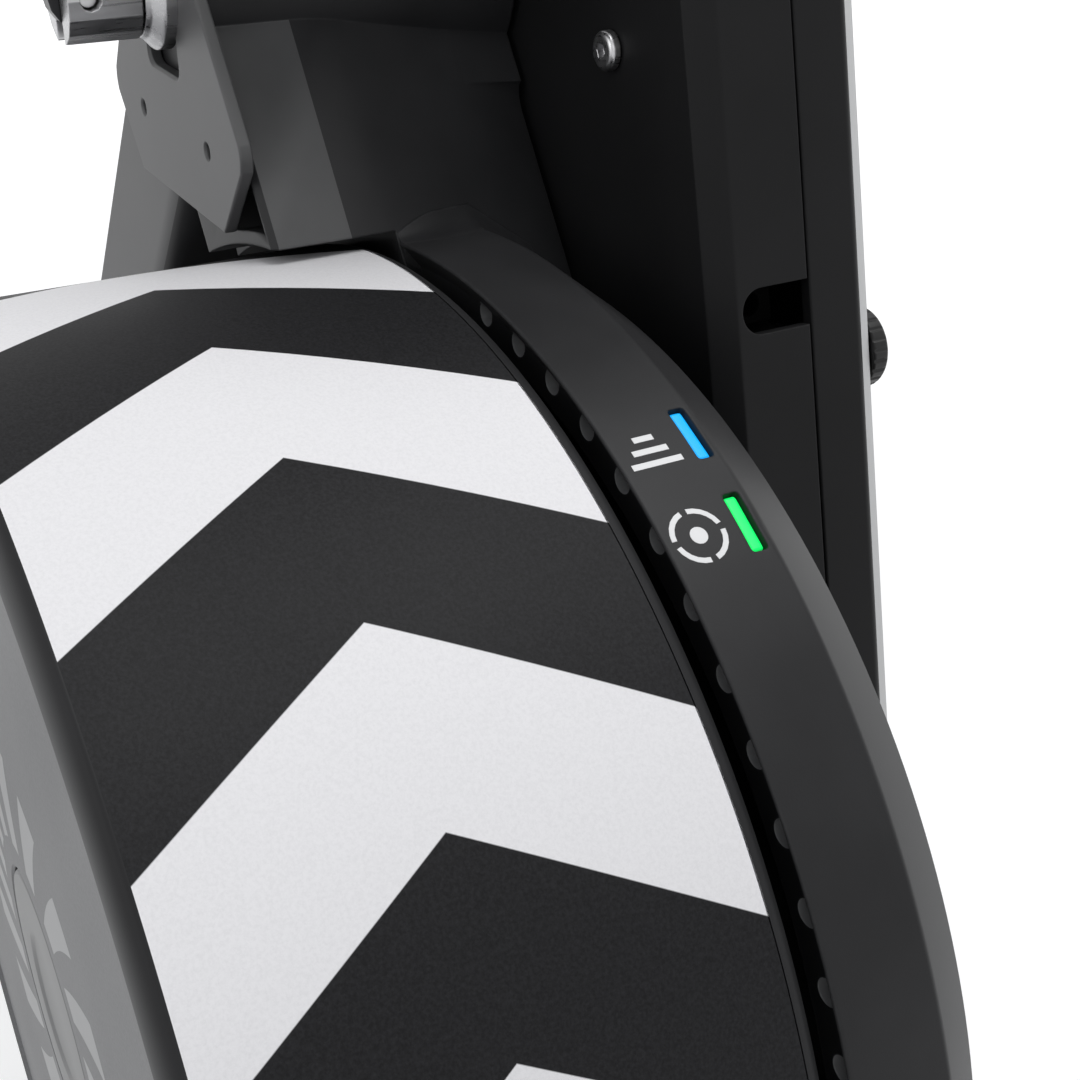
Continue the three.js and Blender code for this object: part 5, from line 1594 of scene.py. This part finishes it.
@dataclass(frozen=True)
class MarkSizes:
    """The printed marks, in millimetres and counts."""

    bars: tuple[float, ...] = (3.2, 5.6, 8.0)
    bar_pitch: float = 2.2
    bar_width: float = 1.0
    bar_y: float = -47.2
    blue_shift: float = 0.4
    green_shift: float = 0.1
    circle_y: float = -47.0
    outer: float = 4.2
    inner: float = 3.4
    parts: int = 24
    gap_every: int = 6
    dot: float = 1.3
    dot_steps: int = 20


class Markings(Assembly):
    """Plain printed marks beside the two indicator windows."""

    sizes = MarkSizes()

    def patch(self, points: Sequence[Pair]) -> Mesh:
        """A thin patch on the ring's band.

        Args:
            points: (millimetres round the ring from its top towards the rear, y).

        Returns:
            the mesh.
        """
        rings = []
        for r in (FRAME.ring + 0.01, FRAME.ring + 0.04):
            places = [around(r, along / FRAME.ring) for along, _ in points]
            rings.append([Vector((x, y, z)) for (x, z), (_, y) in zip(places, points)])
        return Mesher.loft(rings)

    def build(self) -> None:
        """Makes three bars beside the blue window, and a broken circle and dot beside the green."""
        s = self.sizes
        start = math.radians(FRAME.blue + s.blue_shift) * FRAME.ring
        middle = math.radians(FRAME.green + s.green_shift) * FRAME.ring

        def spot(radius: float, share: float) -> Pair:
            """Returns: a place on the broken circle, that share of a turn along it."""
            turn = TURN * share
            return middle + radius * math.cos(turn), s.circle_y + radius * math.sin(turn)

        patches = []
        for i, length in enumerate(s.bars):
            a = start + (i - 1) * s.bar_pitch
            b = a + s.bar_width
            low, high = s.bar_y - length / 2, s.bar_y + length / 2
            patches.append(self.patch([(a, low), (b, low), (b, high), (a, high)]))
        for i in range(s.parts):
            if i % s.gap_every != s.gap_every - 1:
                a, b = i / s.parts, (i + 1) / s.parts
                patches.append(self.patch([spot(s.outer, a), spot(s.outer, b), spot(s.inner, b),
                                           spot(s.inner, a)]))
        patches.append(self.patch([spot(s.dot, i / s.dot_steps) for i in range(s.dot_steps)]))
        self.shop.piece("ring_marks", Mesher.joined(patches), Body.FRAME, Slot.CAST, (),
                        [self.shop.palette.marks])


@dataclass(frozen=True)
class PlateSizes:
    """The side plate, in millimetres."""

    bottom: float = 120.0
    half: float = 35.2
    foot: float = 23.0
    hip_z: float = 132.4
    shoulder_z: float = 137.2
    share: float = 0.97
    top_radius: float = 15.0
    top_z: float = 157.0
    low: float = -19.9
    thick: float = 2.2
    edge: float = 0.35
    hole_edge: float = 0.4
    slot_round: float = 3.0
    slot_edge: float = 0.7
    slot_half: float = 8.5
    slot_shift: float = 2.1
    slot_low: float = 141.8
    slot_high: float = 164.0


class SidePlate(Assembly):
    """The plate over the apex, with its two pins."""

    sizes = PlateSizes()

    def build(self) -> None:
        """Makes the plate."""
        s = self.sizes
        shoulder = s.half * s.share
        slope = math.atan2(shoulder, s.top_z - s.shoulder_z)
        reach = math.hypot(shoulder, s.top_z - s.shoulder_z)
        turn = math.acos(s.top_radius / reach) + slope - QUARTER
        right: list[Pair] = [(s.foot, s.bottom), (shoulder, s.hip_z)]
        bend = (s.half, (s.hip_z + s.shoulder_z) / 2)
        right += Outlines.curve(right[-1], bend, (shoulder, s.shoulder_z), 8)
        right += Outlines.arc(0, s.top_z, s.top_radius, turn, QUARTER, 16)
        left = [(-x, z) for x, z in reversed(right[:-1])]
        points = [(SIZES.axle_x + x, z) for x, z in right + left]
        high = s.low + s.thick
        body = Mesher.slab(points, s.low, high, s.edge)
        wide = FRAME.pin + s.hole_edge
        hole = [(0, s.low - 1), (FRAME.pin, s.low - 1), (FRAME.pin, high - 0.35),
                (wide, high + 0.05), (wide, high + 1), (0, high + 1)]
        tools = [Mesher.turned(hole, 32, False, (SIZES.axle_x + side * FRAME.pin_side, FRAME.pin_z))
                 for side in (-1, 1)]
        tools.append(Mesher.slab(self.window_points(0.0), s.low - 1, high + 1))
        tools.append(Mesher.loft([[Vector((x, y, z)) for x, z in self.window_points(grow)]
                                  for grow, y in ((0.0, high - 0.5), (s.slot_edge, high + 0.2))]))
        body = self.shop.cut(body, *tools)
        self.shop.piece("side_plate_visual", body, Body.FRAME, Slot.PLATE, ["side_plate"])

    def window_points(self, grow: float) -> list[Pair]:
        """The window's outline, drawn out by grow.

        Args:
            grow: how far outwards.

        Returns:
            the outline.
        """
        s = self.sizes
        half = s.slot_half + grow
        low = s.slot_low - grow
        high = s.slot_high + grow
        r = s.slot_round
        right: list[Pair] = [(half - r, low)]
        right += Outlines.curve(right[-1], (half, low), (half, low + r), 6)
        right += [(half, high - r)]
        right += Outlines.curve(right[-1], (half, high), (half - r, high), 6)
        return Outlines.mirrored(right, SIZES.axle_x + s.slot_shift)


@dataclass(frozen=True)
class CaseSizes:
    """The belt case, in millimetres."""

    seam: float = -94.3
    right: float = -105.5
    top: float = 70.0
    foot: float = 51.0
    wall: float = 2.5
    chamfer: float = 3.5
    slot_along: float = 104.5
    slot_height: float = 7.4
    slot_left: float = -81.3
    hub_hole: float = 24.0
    shaft_hole: float = 12.0
    sensor_hole: float = 1.9
    socket_size: Triple = (8.0, 9.0, 6.8)
    socket_sink: float = 9.0
    socket_bore: float = 2.0
    screw_hole: float = 3.5
    screw_side: float = 4.7
    screw_shares: tuple[Pair, ...] = ((0.2, -1), (0.2, 1), (0.58, 1))
    screw_low: float = 0.75
    knob_hole: float = 4.5
    knob_x: float = -20.4
    knob_z: float = 100.7


class BeltCase(Assembly):
    """The two halves of the belt case."""

    sizes = CaseSizes()
    rear = SIZES.lean - math.asin((CaseSizes.top - CaseSizes.foot) / SIZES.reach)

    def outline(self, inset: float) -> list[Pair]:
        """The case's outline, drawn in."""
        return Outlines.capsule(self.sizes.top - inset, self.sizes.foot - inset)

    def build(self) -> None:
        """Makes both halves and the socket."""
        s = self.sizes
        shop = self.shop
        left = SIZES.case_left
        c = s.chamfer
        layers: list[Pair] = [
            (s.wall, left - s.wall), (s.wall, s.seam + 0.2), (s.wall - 0.2, s.seam), (0.25, s.seam),
            (0.0, s.seam + 0.25), (0.0, left - c - 0.35), (0.12, left - c), (c - 0.15, left - 0.25),
            (c + 0.2, left)]
        body = shop.cut(Mesher.layered(self.outline, layers),
                        Mesher.rod(s.shaft_hole, s.seam, left + PAST),
                        Mesher.rod(SIZES.axle_hole, s.seam, left + PAST, SIZES.axle),
                        Mesher.rod(s.sensor_hole, left - 6, left + PAST, SIZES.sensor_at),
                        self.slot())
        shop.piece("belt_case_visual", body, Body.FRAME, Slot.CASE, ["belt_case"])
        self.socket()
        high = s.seam - SIZES.seat
        layers = [
            (s.wall, s.right + s.wall), (s.wall, high - 0.2), (s.wall - 0.2, high), (0.25, high),
            (0.0, high - 0.25), (0.0, s.right + 2.0), (0.15, s.right + 1.3),
            (0.59, s.right + 0.59), (1.3, s.right + 0.15), (2.0, s.right)]
        cover = shop.cut(Mesher.layered(self.outline, layers),
                         Mesher.rod(s.hub_hole, s.right - PAST, s.seam, SIZES.axle),
                         Mesher.rod(s.knob_hole, s.right - PAST, s.seam, (s.knob_x, s.knob_z)),
                         *(Mesher.rod(s.screw_hole, s.right - PAST, s.right + 2.25, place)
                           for place in self.screw_places()))
        shop.piece("belt_cover_visual", cover, Body.FRAME, Slot.CASE, ["belt_cover"])

    def screw_places(self) -> list[Pair]:
        """The closing screws: three beside the straight sides and one at the low end."""
        s = self.sizes
        places = []
        for share, side in s.screw_shares:
            across = side * (s.foot + (s.top - s.foot) * share - s.wall - s.screw_side)
            along = share * SIZES.reach
            places.append((along * math.sin(SIZES.lean) + across * math.cos(SIZES.lean),
                           along * math.cos(SIZES.lean) - across * math.sin(SIZES.lean)))
        return places + [(0.0, -s.foot * s.screw_low)]

    def face_point(self, inset: float) -> Pair:
        """A place at the slot's middle, inwards from the rear face.

        Args:
            inset: the distance inwards.

        Returns:
            (x, z).
        """
        s = self.sizes
        away = s.foot - inset
        return (s.slot_along * math.sin(self.rear) - away * math.cos(self.rear),
                s.slot_along * math.cos(self.rear) + away * math.sin(self.rear))

    def socket(self) -> None:
        """The dark power socket behind the slot."""
        s = self.sizes
        x, z = self.face_point(s.wall + s.socket_sink)
        at = (x, (s.slot_left + s.seam) / 2, z)
        circle = Outlines.arc(0.0, 0.0, s.socket_bore, 0.0, TURN, 32)[:-1]
        bore = Mesher.loft([[Vector((a, b, c)) for b, c in circle] for a in (-9.0, 2.0)])
        body = self.shop.cut(Mesher.box(s.socket_size, at, self.rear, 0.6),
                             Mesher.placed(bore, self.rear, at))
        self.shop.piece("power_socket_visual", body, Body.FRAME, Slot.BLACK, ["power_socket"],
                        [self.shop.palette.deep])

    def slot(self) -> Mesh:
        """The cutting tool of the power slot: a bar with one round end."""
        s = self.sizes
        x, z = self.face_point(s.wall / 2)
        half = s.slot_height / 2
        end = s.slot_left - half
        points: list[Pair] = [(s.seam - PAST, -half), (end, -half)]
        points += Outlines.arc(end, 0.0, half, -QUARTER, QUARTER, 20)[1:]
        points += [(s.seam - PAST, half)]
        tool = Mesher.loft([[Vector((a, b, c)) for b, c in points] for a in (-4.0, 4.0)])
        return Mesher.placed(tool, self.rear, (x, 0.0, z))


@dataclass(frozen=True)
class KnobSizes:
    """The tension knob, in millimetres."""

    radius: float = 7.0
    low: float = -111.3
    high: float = -108.1
    edge: float = 0.8
    dish: float = 3.5
    rim: float = 4.2
    socket: float = 4.5
    socket_depth: float = 2.2
    flutes: int = 24
    flute: float = 0.45


class TensionKnob(Assembly):
    """The fluted knob on the drive side."""

    sizes = KnobSizes()
    at = (CaseSizes.knob_x, CaseSizes.knob_z)

    def build(self) -> None:
        """Makes the knob."""
        s = self.sizes
        floor = s.high - s.socket_depth
        profile: list[Pair] = [(0, s.low + 0.3), (s.dish, s.low + 0.3), (s.rim, s.low),
                               (s.radius - s.edge, s.low)]
        profile += Outlines.rounding(s.radius, s.low, s.edge, False)
        profile += [(s.radius, s.high - 0.3), (s.radius - 0.3, s.high), (s.socket, s.high),
                    (s.socket, floor), (0, floor)]
        flutes = []
        for i in range(s.flutes):
            x, z = around(s.radius + 0.2, TURN * i / s.flutes)
            centre = (self.at[0] + x, self.at[1] + z)
            flutes.append(Mesher.rod(s.flute, s.low - 1, s.high + 1, centre, 12))
        body = self.shop.cut(Mesher.turned(profile, 120, False, self.at), Mesher.joined(flutes))
        self.shop.piece("tension_knob_visual", body, Body.TENSIONER, Slot.BLACK, ["tension_knob"])


@dataclass(frozen=True)
class HandleSizes:
    """The loop handle, in millimetres."""

    width: float = 28.0
    thick: float = 13.0
    foot_half: float = 17.0
    grip_half: float = 64.0
    foot_z: float = 176.0
    foot_height: float = 18.0
    shoulder: float = 24.0
    rise: float = 62.0
    round: float = 18.0
    edge: float = 5.0


class Handle(Assembly):
    """The carrying handle on the apex."""

    sizes = HandleSizes()

    def build(self) -> None:
        """Makes the handle."""
        s = self.sizes
        y = LEG_Y
        half = s.width / 2
        layers: list[Pair] = []
        deep, wide = s.thick - s.edge, half - s.edge
        corners = [(s.edge, wide, 0.0), (deep, wide, QUARTER), (deep, -wide, math.pi),
                   (s.edge, -wide, 1.5 * math.pi)]
        for inset, level, start in corners:
            for i in range(6):
                t = start + QUARTER * i / 5
                layers.append((inset - s.edge * math.cos(t), y + level + s.edge * math.sin(t)))
        loop = Mesher.layered(lambda inset: Outlines.handle(inset, s), layers, loop=True)
        size = (2 * s.foot_half, s.width, s.foot_height)
        foot = Mesher.box(size, (SIZES.axle_x, y, s.foot_z), 0.0, 2.0)
        body = self.shop.union(loop, foot)
        body = self.shop.cut(body, Mesher.rod(FRAME.apex + SIZES.seat, -80, -10, SIZES.axle, 96))
        self.shop.piece("carry_handle_visual", body, Body.FRAME, Slot.CASE, ["carry_handle"])


@dataclass(frozen=True)
class FootSizes:
    """Foot bars, caps and pads, in millimetres."""

    base: float = 58.0
    top: float = 54.0
    height: float = 25.0
    low: float = -181.0
    round: float = 5.0
    wall: float = 3.0
    cap: float = 6.0
    plug: float = 5.0
    centre_y: float = -60.0
    rear_width: float = 480.0
    front_width: float = 300.0
    pad_radius: float = 19.0
    pad_inset: float = 32.0
    stud: float = 4.3
    stud_depth: float = 12.0
    bolt_head: float = 6.8
    bolt_sink: float = 2.8
    dome: float = 2.5
    floor: float = -189.0


class Feet(Assembly):
    """Both foot bars with their end caps and pads."""

    sizes = FootSizes()

    def build(self) -> None:
        """Makes the feet."""
        s = self.sizes
        for end, width in (("rear", s.rear_width), ("front", s.front_width)):
            x = BAR_X[end]
            low = s.centre_y - width / 2 + s.cap + 0.3
            high = s.centre_y + width / 2 - s.cap - 0.3
            layers = [(0.0, low), (0.0, high), (s.wall, high), (s.wall, low)]
            bar = Mesher.layered(lambda inset: Outlines.bar(inset, s), layers, x, loop=True)
            bar = self.shop.cut(bar, *self.bar_tools(end, x, width))
            name = f"{end}_foot_bar"
            self.shop.piece(f"{name}_visual", bar, Body.FRAME, Slot.BAR, [name])
            for side_name, side in (("left", 1), ("right", -1)):
                self.cap(end, x, width, side_name, side)
                self.pad(end, x, s.centre_y + side * (width / 2 - s.pad_inset), side_name)

    def bar_tools(self, end: str, x: float, width: float) -> list[Mesh]:
        """The holes in a bar's underside and top, for the pads' studs and the bolts.

        Args:
            end: the bar's place.
            x: its middle.
            width: its length.

        Returns:
            the tools.
        """
        s = self.sizes
        tools = []
        for side in (-1, 1):
            y = s.centre_y + side * (width / 2 - s.pad_inset)
            tools.append(Mesher.upright(s.stud, s.low - PAST, s.low + s.stud_depth, x, y))
        for at in BOLTS[end]:
            tools.append(Mesher.upright(FRAME.bolt, s.low - PAST, s.low + s.height + PAST, *at))
            tools.append(Mesher.upright(s.bolt_head, s.low - PAST, s.low + s.bolt_sink, *at))
        return tools

    def cap(self, end: str, x: float, width: float, side_name: str, side: int) -> None:
        """One end cap, domed a little and plugged into the bar.

        Args:
            end: the bar's place.
            x: its middle.
            width: its length.
            side_name: left or right.
            side: 1 for left and -1 for right.
        """
        s = self.sizes
        outer = s.centre_y + side * width / 2
        inner = outer - side * s.cap
        layers: list[Pair] = [
            (s.wall + 0.5, inner - side * s.plug), (s.wall + 0.3, inner - side * (s.plug - 0.5)),
            (s.wall + 0.3, inner), (0.2, inner), (0.0, inner + side * 0.2)]
        for i in range(6):
            t = QUARTER * i / 5
            layers.append((s.dome * (1 - math.cos(t)), outer - side * s.dome * (1 - math.sin(t))))
        cap = Mesher.layered(lambda inset: Outlines.bar(inset, s), layers, x)
        name = f"{end}_end_cap_{side_name}"
        self.shop.piece(f"{name}_visual", cap, Body.FRAME, Slot.RUBBER, [name])

    def pad(self, end: str, x: float, y: float, side_name: str) -> None:
        """One round rubber pad with a ribbed side, and its stud.

        Args:
            end: the bar's place.
            x: the pad's place along X.
            y: the pad's place along Y.
            side_name: left or right.
        """
        s = self.sizes
        high = s.low - 0.3
        r = s.pad_radius
        top = s.low + s.stud_depth - 0.3
        profile: list[Pair] = [
            (0.0, s.floor), (r - 1.0, s.floor), (r, s.floor + 1.0), (r, s.floor + 2.2),
            (r - 0.8, s.floor + 2.6), (r - 0.8, s.floor + 3.2), (r - 0.4, s.floor + 3.6),
            (r - 1.2, s.floor + 4.8), (r - 2.0, s.floor + 5.2), (r - 3.0, high - 0.6),
            (r - 3.6, high), (4.0, high), (4.0, top), (0.0, top)]
        points = [Vector((a, 0.0, z)) for a, z in profile]
        bm = Mesher.spun(points, Vector((0, 0, 1)), 72, False, Vector((x, y, 0.0)))
        name = f"{end}_foot_pad_{side_name}"
        self.shop.piece(f"{name}_visual", bm, Body.FRAME, Slot.RUBBER, [name])


@dataclass(frozen=True)
class TurnedSizes:
    """A small turned piece on the axle's line."""

    node: str
    body: Body
    slot: Slot
    profile: tuple[Pair, ...]


@dataclass(frozen=True)
class AxleSizes:
    """The turned pieces' profiles, and the freehub's splines."""

    turned: tuple[TurnedSizes, ...] = (
        TurnedSizes("axle_end_left", Body.FRAME, Slot.STEEL,
                    ((2.8, -18.4), (9.7, -18.4), (10, -18.1), (10, -15.9), (9.6, -15.4),
                     (8.2, -14.2), (8, -13.8), (7.7, -13.2), (7.2, -13), (3.2, -13), (2.8, -13.4))),
        TurnedSizes("axle_end_right", Body.FRAME, Slot.STEEL,
                    ((2.8, -148), (7.6, -148), (8, -147.6), (8, -145.3), (7.7, -145), (2.8, -145))),
        TurnedSizes("skewer_nut", Body.FRAME, Slot.LEVER,
                    ((2.7, -157.3), (6.4, -157.3), (6.9, -156.9), (7.1, -153), (6.7, -152.6),
                     (7.2, -152.2), (7.8, -149.2), (8, -148.7), (7.7, -148.3), (2.7, -148.3))),
    )
    splines: int = 9
    tip: float = 17.2
    root: float = 15.7
    tip_share: float = 0.42
    gap: float = 0.012


AXLE = AxleSizes()


class AxleSet(Assembly):
    """The ends of the axle, the freehub and the skewer's nut."""

    def freehub(self) -> None:
        """The splined freehub body."""
        points: list[Pair] = []
        pitch = TURN / AXLE.splines
        for i in range(AXLE.splines):
            start = i * pitch
            step = start + pitch * AXLE.tip_share
            points += Outlines.arc(0, 0, AXLE.tip, start + AXLE.gap, step - AXLE.gap, 6)
            points += Outlines.arc(0, 0, AXLE.root, step + AXLE.gap, start + pitch - AXLE.gap, 8)
        points = [(SIZES.axle_x + x, SIZES.axle_z + z) for x, z in points]
        flange = [(0, -111.6), (18.2, -111.6), (18.6, -111.2), (18.6, -109.6), (18.2, -109.2),
                  (0, -109.2)]
        bore = [(0, -150), (13.3, -150), (13.3, -137.2), (6.6, -137.2), (6.6, -116.5),
                (13.3, -116.5), (13.3, -100), (0, -100)]
        body = self.shop.union(Mesher.slab(points, -144.5, -109.2),
                               Mesher.turned(flange, 96, False, SIZES.axle))
        body = self.shop.cut(body, Mesher.turned(bore, 64, False, SIZES.axle))
        self.shop.piece("freehub_body_visual", body, Body.FREEHUB, Slot.ALLOY, ["freehub_body"])

    def build(self) -> None:
        """Makes the set."""
        for item in AXLE.turned:
            bm = Mesher.turned(item.profile, 64, True, SIZES.axle)
            self.shop.piece(f"{item.node}_visual", bm, item.body, item.slot, [item.node])
        self.freehub()


@dataclass(frozen=True)
class ScrewSizes:
    """The screw's sizes."""

    radius: float = 3.2
    height: float = 1.8
    edge: float = 0.9
    stem: float = 1.6
    socket: float = 1.3


SCREW = ScrewSizes()


class Screws(Assembly):
    """The screw that shows on the case's left face."""

    def build(self) -> None:
        """Makes its rounded head with a socket, and the top of its stem."""
        low = SIZES.case_left + SIZES.seat
        r, edge = SCREW.radius, SCREW.edge
        top = low + SCREW.height
        head: list[Pair] = [(0, low - 6), (SCREW.stem, low - 6), (SCREW.stem, low), (r, low),
                            (r, top - edge)]
        head += Outlines.rounding(r, top, edge) + [(0, top)]
        body = self.shop.cut(Mesher.turned(head, 48, False, SIZES.sensor_at),
                             Mesher.rod(SCREW.socket, low + 0.6, low + 3, SIZES.sensor_at, 6))
        self.shop.piece("sensor_screw_visual", body, Body.FRAME, Slot.STEEL, ["sensor_screw"])


class Lenses(Assembly):
    """The two indicator windows, rounded and set into the ring."""

    def build(self) -> None:
        """Makes the windows."""
        f = FRAME
        for slot, degrees in ((Slot.BLUE, f.blue), (Slot.GREEN, f.green)):
            angle = math.radians(degrees)
            low, high = f.inner - 1.0, f.ring - f.lens_sink
            x, z = around((low + high) / 2, angle)
            size = (f.lens_height, f.lens_width, high - low)
            body = Mesher.box(size, (x, f.lens_y, z), -angle, f.lens_edge)
            self.shop.piece(f"{slot.value}_visual", body, Body.FRAME, slot, [slot.value])


@dataclass(frozen=True)
class LightSizes:
    """One soft area light: place and size in metres, power in watts."""

    name: str
    at: Triple
    size: tuple[float, float]
    power: float


@dataclass(frozen=True)
class Studio:
    """Floor, background, lights and camera."""

    lens: float = 51.85
    sensor: float = 36.0
    eye: Triple = (-212.0, 58.8, 199.2)
    # The directions of the picture's right, down and depth.
    right: Triple = (-0.486574, -0.873639, 0.000192)
    down: Triple = (-0.418738, 0.233023, -0.877701)
    forward: Triple = (0.766749, -0.427147, -0.479209)
    clip: Pair = (0.01, 20.0)
    aim: Triple = (10.0, -30.0, 40.0)
    sky: Rgba = (0.92, 0.95, 1.0, 1.0)
    sky_strength: float = 0.38
    white: Rgba = (1.0, 1.0, 1.0, 1.0)
    floor_half: float = 6.0
    floor_color: Rgba = (0.6, 0.6, 0.6, 1.0)
    floor_roughness: float = 0.7
    floor_lift: float = 0.5
    floor_near: float = 0.5
    floor_far: float = 2.5
    lights: tuple[LightSizes, ...] = (
        LightSizes("key", (-0.3, -0.4, 2.0), (1.2, 1.2), 23.0),
        LightSizes("rear", (-1.7, 0.5, 1.2), (1.2, 1.2), 2.5),
        LightSizes("left", (-0.2, 1.8, 1.0), (1.2, 1.2), 6.5),
    )

    def build(self) -> None:
        """Sets the stage."""
        self.floor()
        self.world()
        for light in self.lights:
            self.light(light)
        self.camera()

    def floor(self) -> None:
        """A pale plain floor, lifted to white where the camera, gloss or glass sees it."""
        bm = bmesh.new()
        bmesh.ops.create_grid(bm, x_segments=1, y_segments=1, size=self.floor_half)
        mesh = bpy.data.meshes.new("floor")
        bm.to_mesh(mesh)
        bm.free()
        floor = bpy.data.objects.new("floor", mesh)
        bpy.context.collection.objects.link(floor)
        shader = Shader("floor_finish")
        away = shader.node("ShaderNodeVectorMath", {0: shader.coords.outputs["Object"]},
                           operation="LENGTH")
        lift = shader.ramp(away.outputs["Value"], self.floor_near, self.floor_far,
                           self.floor_lift, 1.0)
        glow = shader.math("MULTIPLY", shader.seen(), lift)
        for key, value in (("Base Color", self.floor_color), ("Roughness", self.floor_roughness),
                           ("Emission Color", self.white), ("Emission Strength", glow)):
            shader.link(value, shader.surface.inputs[key])
        mesh.materials.append(shader.material)

    def world(self) -> None:
        """White behind the object, soft grey as light."""
        world = bpy.data.worlds.new("studio")
        bpy.context.scene.world = world
        graph = Graph(world)
        soft = graph.node("ShaderNodeBackground",
                          {"Color": self.sky, "Strength": self.sky_strength})
        white = graph.node("ShaderNodeBackground", {"Color": self.white, "Strength": 1.0})
        mix = graph.node("ShaderNodeMixShader",
                         {0: graph.seen(), 1: soft.outputs[0], 2: white.outputs[0]})
        graph.node("ShaderNodeOutputWorld", {"Surface": mix.outputs[0]})

    def light(self, sizes: LightSizes) -> None:
        """One area light aimed at the machine.

        Args:
            sizes: the light's place, size and power.
        """
        data = bpy.data.lights.new(sizes.name, "AREA")
        data.shape = "RECTANGLE"
        data.size, data.size_y = sizes.size
        data.energy = sizes.power
        obj = bpy.data.objects.new(sizes.name, data)
        obj.location = sizes.at
        aim = Places.point(*self.aim)
        obj.rotation_euler = (aim - Vector(sizes.at)).to_track_quat("-Z", "Y").to_euler()
        bpy.context.collection.objects.link(obj)

    def camera(self) -> None:
        """The camera at the photograph's place."""
        data = bpy.data.cameras.new("camera")
        data.sensor_width = self.sensor
        data.lens = self.lens
        data.clip_start, data.clip_end = self.clip
        camera = bpy.data.objects.new("camera", data)
        up, back = [-v for v in self.down], [-v for v in self.forward]
        turn = Matrix((self.right, up, back)).transposed()
        camera.matrix_world = Matrix.Translation(Places.point(*self.eye)) @ turn.to_4x4()
        bpy.context.collection.objects.link(camera)
        bpy.context.scene.camera = camera
        bpy.context.scene.view_settings.view_transform = "Standard"


def main() -> None:
    """Loads the frame, builds every sub-assembly and sets the stage."""
    logging.basicConfig(level=logging.INFO, format="%(name)s: %(message)s")
    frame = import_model()
    Places.settle()
    palette = Palette()
    palette.dress_frame(frame["nodes"], frame["record"])
    shop = Workshop(palette)
    for kind in (Flywheel, Casting, Markings, SidePlate, BeltCase, TensionKnob, Handle, Feet,
                 AxleSet, Screws, Lenses):
        kind(shop).build()
        LOG.info("built %s", kind.__name__)
    Studio().build()


if __name__ == "__main__":
    main()
